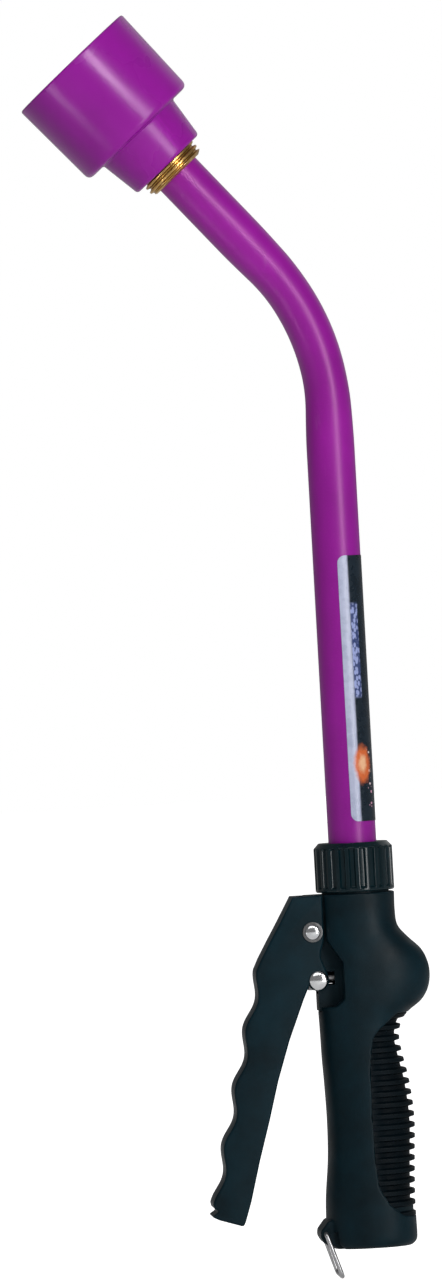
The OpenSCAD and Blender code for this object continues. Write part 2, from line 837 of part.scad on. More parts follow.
module pivot_washers() {
    color("gray")
        for (side = [-1, 1])
            difference() {
                rod_y(pivot, side > 0 ? cheek_out + 0.01 : -cheek_out - washer_t,
                    side > 0 ? cheek_out + washer_t : -cheek_out - 0.01, 4);
                rod_y(pivot, -far, far, pivot_r + 0.02);
            }
}

module link_pin() {
    color("silver")
        headed_pin(link, link_r, 3.8, 1.6, cheek_out + 0.02);
}

// ---------- lock clip ----------

// Wire loop drawn hanging straight down from its pivot, then swung to its rest angle
module lock_clip() {
    half = clip_w / 2;
    corner = 2;
    color("silver")
        translate([clip_pivot[0], 0, clip_pivot[1]])
            rotate([0, -clip_rest_angle, 0])
                union() {
                    for (side = [-1, 1]) {
                        translate([0, side * half, -clip_l + corner])
                            cylinder(h = clip_l - corner, r = clip_wire_r);
                        translate([0, side * half, 0])
                            sphere(r = clip_wire_r);
                        translate([0, side * (half - corner), -clip_l + corner])
                            rotate([0, 90, 0])
                                rotate([0, 0, side > 0 ? 0 : -90])
                                    rotate_extrude(angle = 90)
                                        translate([corner, 0])
                                            circle(r = clip_wire_r);
                        rod_y([0, 0], min(side * half, side * (half - clip_pin_l)),
                            max(side * half, side * (half - clip_pin_l)), clip_wire_r);
                    }
                    rod_y([0, -clip_l], -half + corner, half - corner, clip_wire_r);
                }
}

wand_tube();
tube_label();
tube_oring();
tube_ferrule();
collar_nut();
brass_nipple();
head_washer();
head_body();
head_screen();
diffuser_disc();
face_oring();
rose_plate();
valve_body();
grip_cover();
rib_pad();
inlet_insert();
hose_washer();
inlet_screen();
pivot_bush();
packing_nut();
stem_oring();
seat_ring();
spring_cap();
cap_oring();
valve_spring();
lever();
pivot_pin();
pivot_washers();
link_pin();
valve_stem();
valve_washer();
washer_holder();
stem_nut();
lock_clip();
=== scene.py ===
import json
import math

import bmesh
import bpy
from bpy.props import FloatProperty, FloatVectorProperty, IntProperty, PointerProperty
from mathutils import Matrix, Vector


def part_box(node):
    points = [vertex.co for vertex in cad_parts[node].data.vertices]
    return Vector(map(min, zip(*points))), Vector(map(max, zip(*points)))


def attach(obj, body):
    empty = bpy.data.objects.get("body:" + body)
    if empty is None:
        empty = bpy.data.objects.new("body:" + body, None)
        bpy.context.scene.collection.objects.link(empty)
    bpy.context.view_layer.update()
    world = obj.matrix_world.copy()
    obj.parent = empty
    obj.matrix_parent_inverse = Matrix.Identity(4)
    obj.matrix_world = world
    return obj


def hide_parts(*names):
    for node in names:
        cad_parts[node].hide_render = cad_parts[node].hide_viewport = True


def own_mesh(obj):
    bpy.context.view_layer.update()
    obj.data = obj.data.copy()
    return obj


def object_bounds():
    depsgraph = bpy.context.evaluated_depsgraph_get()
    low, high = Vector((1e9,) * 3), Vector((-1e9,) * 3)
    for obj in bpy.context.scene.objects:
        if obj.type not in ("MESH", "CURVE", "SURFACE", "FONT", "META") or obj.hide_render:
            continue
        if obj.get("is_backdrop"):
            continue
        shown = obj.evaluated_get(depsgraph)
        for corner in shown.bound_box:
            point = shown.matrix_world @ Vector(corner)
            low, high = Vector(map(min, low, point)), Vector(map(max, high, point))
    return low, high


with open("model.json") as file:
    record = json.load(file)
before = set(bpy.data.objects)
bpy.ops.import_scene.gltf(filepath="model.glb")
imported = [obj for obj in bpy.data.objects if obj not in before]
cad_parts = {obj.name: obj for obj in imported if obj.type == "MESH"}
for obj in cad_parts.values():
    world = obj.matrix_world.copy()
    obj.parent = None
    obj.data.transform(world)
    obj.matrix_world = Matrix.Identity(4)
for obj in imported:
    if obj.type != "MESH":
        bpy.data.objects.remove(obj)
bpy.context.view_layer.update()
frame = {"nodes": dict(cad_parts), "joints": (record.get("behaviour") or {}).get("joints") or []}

bl_info = {
    "name": "Watering Wand Dresser",
    "version": (1, 0, 0),
    "blender": (4, 5, 0),
    "location": "View3D > Sidebar > Wand",
    "description": "Builds the finished surfaces of a watering wand around its fixed mechanical frame",
    "category": "Object",
}

MM = 0.001


# ---------- places read from the frame, in millimetres ----------

def node_box(node):
    """Lowest and highest corner of a CAD node, in millimetres."""
    low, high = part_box(node)
    return low / MM, high / MM


def node_centre(node):
    low, high = node_box(node)
    return (low + high) / 2


TUBE_LOW, TUBE_HIGH = node_box("wand_tube")
LABEL_LOW, LABEL_HIGH = node_box("tube_label")
COLLAR_LOW, COLLAR_HIGH = node_box("collar_nut")
INSERT_LOW, INSERT_HIGH = node_box("inlet_insert")

TUBE_R = TUBE_HIGH.y
LABEL_HALF = math.acos(LABEL_LOW.x / LABEL_HIGH.x)
STEM_Z = node_centre("valve_stem").z
HANDLE_H = node_box("grip_cover")[1].z
INSERT_R = INSERT_HIGH.x
BELL_R = INSERT_R + 1.2
TOWER_R = TUBE_R + 3.1
PIVOT = node_centre("pivot_pin")
LINK = node_centre("link_pin")
COLLAR_R = COLLAR_HIGH.x
JOINTS = {joint["name"]: joint for joint in frame["joints"]}
CLIP_PIVOT = Vector(JOINTS["clip_swing"]["pos_m"]) / MM
LEVER_HALF = node_box("lever")[1].y
# the grip's lip below the brass insert, and the pitch of both threads
MOUTH_LIP = 1.0
THREAD_PITCH = 2.21
# length of the hand's part of the handle against the length that it was drawn with
HAND = (STEM_Z - 20) / 86.9
# height of the pivot that the lever's outline was drawn for
DRAWN_PIVOT_Z = 125.4


# ---------- sizes and colours that a user would change ----------

class WandTubeSizes(bpy.types.PropertyGroup):
    wall: FloatProperty(
        name="Wall", description="Wall of the tube", default=1.2 * MM, min=0.0005, unit="LENGTH")
    bend_start: FloatProperty(
        name="Bend start", description="Height at which the bend starts", default=330.8 * MM, unit="LENGTH")
    bend_radius: FloatProperty(
        name="Bend radius", description="Radius of the bend's centre line", default=90 * MM, unit="LENGTH")
    bend_angle: FloatProperty(
        name="Bend angle", description="Angle of the bend", default=math.radians(41), subtype="ANGLE")
    end: FloatProperty(
        name="Upper end", description="Distance from the axes' corner to the tube's end", default=92 * MM,
        unit="LENGTH")
    flattening: FloatProperty(
        name="Flattening", description="Share of the diameter lost in the bend", default=0.075, min=0, max=0.2)


class WandHeadSizes(bpy.types.PropertyGroup):
    radius: FloatProperty(
        name="Face radius", description="Radius of the head at its face", default=27.65 * MM, unit="LENGTH")
    taper: FloatProperty(
        name="Taper", description="Radius lost towards the neck", default=0.85 * MM, unit="LENGTH")
    body: FloatProperty(
        name="Body", description="Length of the wide body", default=38 * MM, unit="LENGTH")
    neck: FloatProperty(
        name="Neck", description="Length of the neck", default=17.1 * MM, unit="LENGTH")
    neck_radius: FloatProperty(
        name="Neck radius", description="Radius of the neck at the tube side", default=16.675 * MM,
        unit="LENGTH")
    wall: FloatProperty(
        name="Wall", description="Wall of the head", default=2.4 * MM, unit="LENGTH")
    hole: FloatProperty(
        name="Spray hole", description="Radius of one spray hole", default=0.7 * MM, unit="LENGTH")
    rings: IntProperty(
        name="Rings", description="Rings of spray holes", default=6, min=2, max=9)


class WandGripSizes(bpy.types.PropertyGroup):
    pad_depth: FloatProperty(
        name="Pad depth", description="Depth of the pad's seat", default=2.6 * MM, unit="LENGTH")
    rib_pitch: FloatProperty(
        name="Rib pitch", description="Distance between ribs", default=4.35 * MM, unit="LENGTH")
    rib_depth: FloatProperty(
        name="Rib depth", description="Depth of the grooves between ribs", default=2.0 * MM, unit="LENGTH")
    flutes: IntProperty(
        name="Flutes", description="Flutes round the collar nut", default=24, min=8, max=48)
    voxel: FloatProperty(
        name="Blend", description="Cell that rounds the moulded edges", default=0.42 * MM, unit="LENGTH")


class WandLeverSizes(bpy.types.PropertyGroup):
    wall: FloatProperty(
        name="Wall", description="Wall of the lever's channel", default=2.2 * MM, unit="LENGTH")
    groove: FloatProperty(
        name="Groove", description="Depth of the finger grooves", default=2.8 * MM, unit="LENGTH")
    fillet: FloatProperty(
        name="Fillet", description="Rounding of the lever's outer edges", default=1.1 * MM, unit="LENGTH")
    wire: FloatProperty(
        name="Clip wire", description="Radius of the clip's wire", default=0.9 * MM, unit="LENGTH")
    clip_length: FloatProperty(
        name="Clip length", description="Distance from the clip's pivot to its bar", default=18 * MM,
        unit="LENGTH")
    clip_rest: FloatProperty(
        name="Clip angle", description="Angle from straight down at rest", default=math.radians(18),
        subtype="ANGLE")


class WandColours(bpy.types.PropertyGroup):
    tube: FloatVectorProperty(
        name="Tube", description="Powder coat on the tube", subtype="COLOR", size=4,
        default=(0.248, 0.0030, 0.258, 1))
    head: FloatVectorProperty(
        name="Head", description="Moulded plastic of the head", subtype="COLOR", size=4,
        default=(0.228, 0.0055, 0.245, 1))
    grip: FloatVectorProperty(
        name="Grip", description="Moulded plastic of the grip and lever", subtype="COLOR", size=4,
        default=(0.0010, 0.0105, 0.0160, 1))
    rubber: FloatVectorProperty(
        name="Rubber", description="Ribbed pad", subtype="COLOR", size=4, default=(0.0006, 0.0034, 0.0056, 1))
    brass: FloatVectorProperty(
        name="Brass", description="Machined brass", subtype="COLOR", size=4, default=(0.60, 0.36, 0.09, 1))


class WandStage(bpy.types.PropertyGroup):
    distance: FloatProperty(
        name="Camera distance", description="Distance from the wand's plane", default=3.0, unit="LENGTH")
    lens: FloatProperty(
        name="Lens", description="Focal length in millimetres", default=213.6, min=20)
    azimuth: FloatProperty(
        name="Azimuth", description="Angle of the camera round the wand", default=math.radians(-4.5),
        subtype="ANGLE")
    lean: FloatProperty(
        name="Lean", description="Roll of the camera", default=math.radians(3.17), subtype="ANGLE")
    light: FloatProperty(
        name="Light", description="Strength of all the lamps", default=1.0, min=0)
    fill: FloatProperty(
        name="Fill", description="Light from all round", default=0.2, min=0)


def sizes(group):
    return getattr(bpy.context.scene, group)


# ---------- mesh building ----------

def weld(mesh):
    """Merges doubled points, drops empty faces and turns the normals outwards."""
    work = bmesh.new()
    work.from_mesh(mesh)
    bmesh.ops.remove_doubles(work, verts=work.verts, dist=0.002 * MM)
    bmesh.ops.dissolve_degenerate(work, edges=work.edges, dist=0.001 * MM)
    bmesh.ops.recalc_face_normals(work, faces=work.faces)
    work.to_mesh(mesh)
    work.free()


def shade(mesh, angle=32):
    for face in mesh.polygons:
        face.use_smooth = True
    mesh.set_sharp_from_angle(angle=math.radians(angle))


def solid(name, points, faces, angle=32):
    """New object from points in millimetres."""
    mesh = bpy.data.meshes.new(name)
    mesh.from_pydata([Vector(p) * MM for p in points], [], faces)
    weld(mesh)
    shade(mesh, angle)
    piece = bpy.data.objects.new(name, mesh)
    bpy.context.scene.collection.objects.link(piece)
    return piece


def skin(rings, loop=False):
    """Points and faces through rings of equal count; a loop joins the last ring to the first."""
    count = len(rings[0])
    points = [p for ring in rings for p in ring]
    faces = []
    last = len(rings) if loop else len(rings) - 1
    for r in range(last):
        a, b = r * count, ((r + 1) % len(rings)) * count
        for k in range(count):
            j = (k + 1) % count
            faces.append((a + k, a + j, b + j, b + k))
    if not loop:
        faces.append(tuple(range(count - 1, -1, -1)))
        faces.append(tuple((len(rings) - 1) * count + k for k in range(count)))
    return points, faces


def rounded(corners, radius, steps=5, closed=True):
    """Outline with its corners rounded; a third number on a corner is its own radius."""
    out = []
    count = len(corners)
    for i, corner in enumerate(corners):
        here = Vector(corner[:2])
        if not closed and i in (0, count - 1):
            out.append(here)
            continue
        before = Vector(corners[i - 1][:2]) - here
        after = Vector(corners[(i + 1) % count][:2]) - here
        own = corner[2] if len(corner) > 2 else radius
        half = before.angle(after) / 2
        if own <= 0 or half > math.radians(88):
            out.append(here)
            continue
        reach = min(own / math.tan(half), 0.48 * before.length, 0.48 * after.length)
        start = here + before.normalized() * reach
        end = here + after.normalized() * reach
        for s in range(steps + 1):
            t = s / steps
            out.append(start * (1 - t) ** 2 + here * 2 * t * (1 - t) + end * t * t)
    return out


def inward_normals(outline):
    """Unit normals of a closed outline, pointing inwards."""
    area = sum(a.x * b.y - b.x * a.y for a, b in zip(outline, outline[1:] + outline[:1]))
    turn = 1 if area > 0 else -1
    out = []
    for i, here in enumerate(outline):
        along = (outline[(i + 1) % len(outline)] - outline[i - 1]).normalized()
        out.append(Vector((-along.y, along.x)) * turn)
    return out


def fillet_room(outline, normals, fillet):
    """Fillet that fits at each point: no larger than the largest circle inside that touches the point."""
    room = []
    for here, normal in zip(outline, normals):
        fits = fillet
        for other in outline:
            gap = other - here
            ahead = gap.dot(normal)
            if ahead > 1e-6:
                fits = min(fits, 0.8 * gap.length_squared / (2 * ahead))
        room.append(fits)
    count = len(room)
    for _ in range(3):
        room = [min(room[k], (room[k - 1] + room[k] + room[(k + 1) % count]) / 3 + 0.02)
                for k in range(count)]
    return room


def slab(name, outline, half, fillet=0.0, steps=4):
    """Outline in X and Z, as thick as half on each side of the plane Y = 0, with rounded rims."""
    outline = [p for p, q in zip(outline, outline[1:] + outline[:1]) if (p - q).length > 1e-4]
    normals = inward_normals(outline)
    room = fillet_room(outline, normals, fillet) if fillet > 0 else [0.0] * len(outline)
    angles = [math.radians(90 * s / steps) for s in range(steps + 1)] if fillet > 0 else [math.radians(90)]
    rings = []
    for side, turns in ((-1, reversed(angles)), (1, angles)):
        for a in turns:
            # at 0 the rim meets the side wall, at 90 degrees it meets the flat
            ring = []
            for p, n, r in zip(outline, normals, room):
                q = p + n * r * (1 - math.cos(a))
                ring.append((q.x, side * (half - r * (1 - math.sin(a))), q.y))
            rings.append(ring)
    return solid(name, *skin(rings))


def whole_turn(count):
    """Angles of one turn in equal steps."""
    return [2 * math.pi * k / count for k in range(count)]


def append_skin(points, faces, more):
    """Adds another skin's points and faces to the two lists."""
    base = len(points)
    points += more[0]
    faces += [tuple(base + k for k in face) for face in more[1]]


def turned(profile, place, segments):
    """Points and faces of a closed profile of radius and height, turned about Z and put in place."""
    return skin([[place @ Vector((r * math.cos(a), r * math.sin(a), h)) for r, h in profile]
                 for a in whole_turn(segments)], loop=True)


def lathe(name, profile, place=None, segments=128, angle=32):
    return solid(name, *turned(profile, place or Matrix.Identity(4), segments), angle=angle)


def height_tube(name, low, high, outer, inner, place=None, columns=120, rows=60, angle=32):
    """Ring about Z whose outer and inner radius are functions of the angle's share and the height."""
    place = place or Matrix.Identity(4)
    rings = []
    levels = [low + (high - low) * r / rows for r in range(rows + 1)]
    for c in range(columns):
        share = c / columns
        a = 2 * math.pi * share
        ring = [(outer(share, h), h) for h in levels] + [(inner(share, h), h) for h in reversed(levels)]
        rings.append([place @ Vector((r * math.cos(a), r * math.sin(a), h)) for r, h in ring])
    return solid(name, *skin(rings, loop=True), angle=angle)


def wire_skin(route, radius, sides):
    """Points and faces of a round wire along a route."""
    rings = []
    side = None
    for i, here in enumerate(route):
        ahead = (route[min(i + 1, len(route) - 1)] - route[max(i - 1, 0)]).normalized()
        side = ahead.orthogonal() if side is None else side - ahead * side.dot(ahead)
        side.normalize()
        across_it = ahead.cross(side)
        rings.append([here + (side * math.cos(a) + across_it * math.sin(a)) * radius
                      for a in whole_turn(sides)])
    return skin(rings)


def wire(name, route, radius, sides):
    return solid(name, *wire_skin([Vector(p) for p in route], radius, sides), angle=50)


def rounded_route(points, radius, steps=6):
    """Route in space with rounded corners."""
    points = [Vector(p) for p in points]
    out = [points[0]]
    for before, here, after in zip(points, points[1:], points[2:]):
        to, on = (before - here), (after - here)
        reach = min(radius, 0.48 * to.length, 0.48 * on.length)
        start, end = here + to.normalized() * reach, here + on.normalized() * reach
        for s in range(steps + 1):
            t = s / steps
            out.append(start * (1 - t) ** 2 + here * 2 * t * (1 - t) + end * t * t)
    out.append(points[-1])
    return out


def bake_modifiers(piece):
    graph = bpy.context.evaluated_depsgraph_get()
    mesh = bpy.data.meshes.new_from_object(piece.evaluated_get(graph))
    piece.modifiers.clear()
    old, piece.data = piece.data, mesh
    mesh.name = piece.name
    bpy.data.meshes.remove(old)


def carve(piece, cutters, operation="DIFFERENCE"):
    """Cuts the piece with each cutter and throws the cutters away."""
    for cutter in cutters:
        cut = piece.modifiers.new("cut", "BOOLEAN")
        cut.solver = "EXACT"
        cut.operation = operation
        cut.object = cutter
    bake_modifiers(piece)
    for cutter in cutters:
        mesh = cutter.data
        bpy.data.objects.remove(cutter)
        bpy.data.meshes.remove(mesh)
    if not piece.data.polygons:
        raise RuntimeError(f"{piece.name} was cut away")


def melt(piece, cell, passes=4):
    """Rounds a moulded piece's edges with an even skin of small cells."""
    skinned = piece.modifiers.new("skin", "REMESH")
    skinned.mode = "VOXEL"
    skinned.voxel_size = cell * MM
    skinned.use_smooth_shade = True
    smoothed = piece.modifiers.new("smooth", "SMOOTH")
    smoothed.factor = 0.5
    smoothed.iterations = passes
    bake_modifiers(piece)


def wear(piece, finish, body, slot, *nodes):
    """Gives the piece its finish and its body, and hides the nodes it stands for. The slot is not used."""
    piece.data.materials.clear()
    piece.data.materials.append(finish)
    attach(piece, body)
    if nodes:
        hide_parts(*nodes)


def along_head(station=0):
    """Matrix that puts Z on the head's axis, station millimetres beyond the corner of the tube's axes."""
    tube = sizes("wand_tube")
    corner = (tube.bend_start + tube.bend_radius * math.tan(tube.bend_angle / 2)) / MM
    return (Matrix.Translation((0, 0, corner)) @ Matrix.Rotation(-tube.bend_angle, 4, "Y")
            @ Matrix.Translation((0, 0, station)))


def across(point):
    """Matrix that puts Z along Y through the point."""
    return Matrix.Translation((point.x, 0, point.z)) @ Matrix.Rotation(-math.pi / 2, 4, "X")


def along_x(z):
    """Matrix that puts Z along X at height z."""
    return Matrix.Translation((0, 0, z)) @ Matrix.Rotation(math.pi / 2, 4, "Y")


def rod(name, radius, low, high, place=None, segments=96):
    return lathe(name, [(0, low), (radius, low), (radius, high), (0, high)], place, segments)


def smooth_step(t):
    t = min(max(t, 0.0), 1.0)
    return t * t * (3 - 2 * t)


# ---------- finishes ----------

class Finish:
    """A material under construction, with short calls for its nodes."""

    def __init__(self, name, **socket_values):
        self.material = bpy.data.materials.get(name) or bpy.data.materials.new(name)
        self.material.use_nodes = True
        self.tree = self.material.node_tree
        self.tree.nodes.clear()
        self.out = self.tree.nodes.new("ShaderNodeOutputMaterial")
        self.shader = self.tree.nodes.new("ShaderNodeBsdfPrincipled")
        self.tree.links.new(self.shader.outputs[0], self.out.inputs["Surface"])
        self.place = self.tree.nodes.new("ShaderNodeTexCoord").outputs["Object"]
        for socket, value in socket_values.items():
            self.shader.inputs[socket.replace("_", " ")].default_value = value

    def node(self, kind, **settings):
        made = self.tree.nodes.new("ShaderNode" + kind)
        for key, value in settings.items():
            setattr(made, key, value)
        return made

    def feed(self, socket, value):
        if isinstance(value, bpy.types.NodeSocket):
            self.tree.links.new(value, socket)
        else:
            socket.default_value = value

    def stretch(self, scale, turn=(0, 0, 0)):
        mapping = self.node("Mapping")
        self.feed(mapping.inputs["Vector"], self.place)
        mapping.inputs["Scale"].default_value = scale
        mapping.inputs["Rotation"].default_value = turn
        return mapping.outputs[0]

    def noise(self, scale, detail=3, rough=0.55, where=None, distortion=0.0):
        made = self.node("TexNoise")
        self.feed(made.inputs["Vector"], where or self.place)
        made.inputs["Scale"].default_value = scale
        made.inputs["Detail"].default_value = detail
        made.inputs["Roughness"].default_value = rough
        made.inputs["Distortion"].default_value = distortion
        return made.outputs["Fac"]

    def cells(self, scale, where=None):
        made = self.node("TexVoronoi")
        self.feed(made.inputs["Vector"], where or self.place)
        made.inputs["Scale"].default_value = scale
        return made.outputs["Distance"]

    def span(self, value, low, high, out_low=0.0, out_high=1.0, smooth=False):
        made = self.node("MapRange", interpolation_type="SMOOTHSTEP" if smooth else "LINEAR")
        self.feed(made.inputs["Value"], value)
        sockets = "From Min", "From Max", "To Min", "To Max"
        for socket, number in zip(sockets, (low, high, out_low, out_high)):
            made.inputs[socket].default_value = number
        return made.outputs[0]

    def maths(self, operation, a, b=0.5):
        made = self.node("Math", operation=operation)
        self.feed(made.inputs[0], a)
        self.feed(made.inputs[1], b)
        return made.outputs[0]

    def blend(self, share, a, b, kind="MIX"):
        made = self.node("Mix", data_type="RGBA", blend_type=kind)
        self.feed(made.inputs[0], share)
        self.feed(made.inputs[6], a)
        self.feed(made.inputs[7], b)
        return made.outputs[2]

    def mottle(self, share, base, dark, pale):
        """Colour that goes from one tint of its base to another with a noise."""
        return self.blend(self.span(share, 0.3, 0.7), tint(base, dark), tint(base, pale))

    def tinge(self, share, strength, under, over):
        """Lays one colour over another, at most as strongly as given."""
        return self.blend(self.maths("MULTIPLY", share, strength), under, over)

    def axis(self, name):
        made = self.node("SeparateXYZ")
        self.feed(made.inputs[0], self.place)
        return made.outputs[name]

    def edges(self):
        """Brightest where the surface is most convex."""
        return self.span(self.node("NewGeometry").outputs["Pointiness"], 0.505, 0.56)

    def hollows(self):
        """Brightest where the surface is most concave."""
        return self.span(self.node("NewGeometry").outputs["Pointiness"], 0.495, 0.44)

    def bump(self, height, depth, strength=1.0, under=None):
        made = self.node("Bump")
        made.inputs["Strength"].default_value = strength
        made.inputs["Distance"].default_value = depth
        self.feed(made.inputs["Height"], height)
        if under is not None:
            self.feed(made.inputs["Normal"], under)
        return made.outputs[0]

    def finish(self, colour=None, rough=None, normal=None):
        for socket, value in (("Base Color", colour), ("Roughness", rough), ("Normal", normal)):
            if value is not None:
                self.feed(self.shader.inputs[socket], value)
        return self.material


def tint(colour, factor):
    return tuple(min(c * factor, 1.0) for c in colour[:3]) + (1,)


def powder_coat():
    """Purple powder coat on aluminium: fine orange peel, faint cloudiness and small dull scuffs."""
    f = Finish("powder_coat", IOR=1.5, Specular_IOR_Level=0.55, Specular_Tint=(1, 0.6, 0.8, 1))
    base = tuple(sizes("wand_colours").tube)
    cloud = f.noise(38, 4)
    speck = f.noise(1500, 2)
    colour = f.mottle(cloud, base, 0.88, 1.12)
    colour = f.blend(f.span(speck, 0.58, 0.75, 0, 0.25), colour, tint(base, 1.6))
    scuff = f.span(f.noise(160, 6, 0.7, f.stretch((1, 1, 0.18))), 0.62, 0.74)
    colour = f.tinge(scuff, 0.13, colour, (0.46, 0.22, 0.46, 1))
    dull = f.maths("ADD", f.maths("MULTIPLY", cloud, 0.6), f.maths("MULTIPLY", scuff, 0.5))
    rough = f.span(dull, 0.1, 1, 0.34, 0.46)
    peel = f.bump(f.noise(620, 2, 0.5), 0.00003, 0.15)
    return f.finish(colour, rough, f.bump(speck, 0.00002, 0.15, peel))


def head_plastic():
    """Purple moulded plastic: a fine satin texture with faint flow marks from the mould, and a painted
    highlight on its convex edges.
    """
    f = Finish("head_plastic", IOR=1.5, Specular_IOR_Level=0.36, Specular_Tint=(1, 0.75, 0.95, 1))
    base = tuple(sizes("wand_colours").head)
    flow = f.noise(22, 4, 0.5, f.stretch((1, 1, 0.4), (0, -0.7156, 0)), 0.3)
    grain = f.noise(2400, 2)
    colour = f.blend(f.span(flow, 0.3, 0.7, smooth=True), tint(base, 0.88), tint(base, 1.1))
    # painted highlight: the convex edges are made paler
    colour = f.tinge(f.edges(), 0.3, colour, tint(base, 1.6))
    rough = f.span(flow, 0.25, 0.75, 0.22, 0.30)
    return f.finish(colour, rough, f.bump(grain, 0.00003, 0.2))


def moulded_black(name, base, low, high, edge_wear_and_highlight=0.3, grain_depth=0.00006):
    """Near-black moulded plastic with a spark-eroded grain, paler on its convex edges, partly from wear and
    partly as a painted highlight.
    """
    f = Finish(name, IOR=1.48, Specular_IOR_Level=0.14)
    cloud = f.noise(55, 4)
    grain = f.noise(2100, 3, 0.6)
    fine = f.cells(3200)
    colour = f.mottle(cloud, base, 0.62, 1.45)
    # convex edges made paler: partly wear, partly a painted highlight
    colour = f.tinge(f.edges(), edge_wear_and_highlight, colour, tint(base, 2.4))
    dust = f.span(f.noise(900, 5, 0.7), 0.66, 0.8, 0, 0.06)
    colour = f.blend(dust, colour, (0.10, 0.11, 0.11, 1))
    rough = f.span(f.noise(120, 3), 0.3, 0.7, low, high)
    return f.finish(colour, rough, f.bump(fine, grain_depth * 0.5, 0.3, f.bump(grain, grain_depth, 0.5)))


def grip_plastic():
    return moulded_black("grip_plastic", tuple(sizes("wand_colours").grip), 0.40, 0.52, 0.0)


def lever_plastic():
    return moulded_black("lever_plastic", tint(sizes("wand_colours").grip, 1.15), 0.38, 0.5)


def valve_plastic():
    return moulded_black("valve_plastic", tint(sizes("wand_colours").grip, 0.7), 0.45, 0.6)


def pad_rubber():
    """Soft black rubber, a little polished by the palm on its crests, which also get a painted highlight that
    makes them paler.
    """
    f = Finish("pad_rubber", IOR=1.5, Specular_IOR_Level=0.08)
    base = tuple(sizes("wand_colours").rubber)
    cloud = f.noise(70, 4)
    crest_polish_and_highlight = f.edges()
    colour = f.mottle(cloud, base, 0.8, 1.5)
    # painted highlight: the crests are made paler; the palm's polish is the lower roughness below
    colour = f.tinge(crest_polish_and_highlight, 0.3, colour, (0.010, 0.014, 0.016, 1))
    rough = f.maths("SUBTRACT", f.span(cloud, 0.3, 0.7, 0.52, 0.64), f.maths("MULTIPLY", crest_polish_and_highlight, 0.12))
    return f.finish(colour, rough, f.bump(f.noise(1800, 3), 0.00005, 0.4))


def collar_plastic():
    """Glossy black nylon with hairline rubs from fingers, and a painted highlight on its convex edges."""
    f = Finish("collar_plastic", IOR=1.5, Specular_IOR_Level=0.26)
    base = (0.0010, 0.0090, 0.0125, 1)
    rub = f.noise(150, 4, 0.6, f.stretch((1, 1, 0.4)))
    colour = f.blend(f.span(rub, 0.35, 0.7), base, tint(base, 1.5))
    # painted highlight: the convex edges are made paler
    colour = f.tinge(f.edges(), 0.3, colour, (0.022, 0.03, 0.034, 1))
    return f.finish(colour, f.span(rub, 0.3, 0.75, 0.12, 0.2), f.bump(f.noise(1300, 2), 0.00002, 0.15))


def brass():
    """Turned brass: fine tool rings, brown in the roots, a little dull, and a painted highlight in pale gold
    on its convex edges.
    """
    f = Finish("brass", Metallic=1.0)
    base = tuple(sizes("wand_colours").brass)
    tarnish = f.noise(210, 5, 0.6)
    colour = f.blend(f.span(tarnish, 0.42, 0.72, 0, 0.8), base, (0.30, 0.14, 0.03, 1))
    colour = f.tinge(f.hollows(), 0.85, colour, (0.10, 0.04, 0.008, 1))
    # painted highlight: pale gold on the convex edges
    colour = f.tinge(f.edges(), 0.6, colour, (0.92, 0.72, 0.40, 1))
    return f.finish(colour, f.span(tarnish, 0.3, 0.7, 0.2, 0.42), f.bump(f.noise(2600, 2), 0.00003, 0.35))


def chrome():
    """Bright plated pin heads with hairline scratches and faint haze."""
    f = Finish("chrome", Metallic=1.0)
    haze = f.noise(330, 4)
    hair = f.noise(1700, 2, 0.5, f.stretch((0.15, 1, 1), (0, 0.6, 0)))
    colour = f.blend(f.span(haze, 0.35, 0.7), (0.86, 0.87, 0.88, 1), (0.72, 0.73, 0.75, 1))
    return f.finish(colour, f.span(haze, 0.3, 0.75, 0.07, 0.17), f.bump(hair, 0.00002, 0.2))


def steel(name="steel", shade_of=0.5, low=0.26, high=0.42):
    """Drawn steel: grey, streaked along its length, with small dull spots."""
    f = Finish(name, Metallic=1.0)
    streak = f.noise(900, 4, 0.6, f.stretch((1, 1, 0.12), (0, 0.7, 0)))
    spot = f.noise(420, 4)
    grey = (shade_of, shade_of, shade_of * 1.02, 1)
    colour = f.mottle(streak, grey, 0.8, 1.15)
    colour = f.blend(f.span(spot, 0.6, 0.75, 0, 0.35), colour, tint(grey, 0.45))
    return f.finish(colour, f.span(streak, 0.3, 0.7, low, high), f.bump(streak, 0.00001, 0.15))


def seal_rubber():
    """Plain black seal rubber with a dusty bloom."""
    f = Finish("seal_rubber", IOR=1.5)
    bloom = f.noise(500, 5, 0.65)
    colour = f.blend(f.span(bloom, 0.45, 0.75, 0, 0.5), (0.012, 0.012, 0.012, 1), (0.05, 0.05, 0.048, 1))
    return f.finish(colour, f.span(bloom, 0.3, 0.7, 0.5, 0.7), f.bump(f.noise(1900, 3), 0.00004, 0.4))


def white_nylon():
    """Natural nylon: warm white, slightly waxy."""
    f = Finish("white_nylon", IOR=1.53, Subsurface_Weight=0.08, Subsurface_Scale=0.002)
    cloud = f.noise(140, 4)
    colour = f.blend(f.span(cloud, 0.3, 0.7), (0.66, 0.65, 0.60, 1), (0.76, 0.75, 0.70, 1))
    return f.finish(colour, f.span(cloud, 0.3, 0.7, 0.35, 0.5), f.bump(f.noise(1500, 3), 0.00004, 0.3))


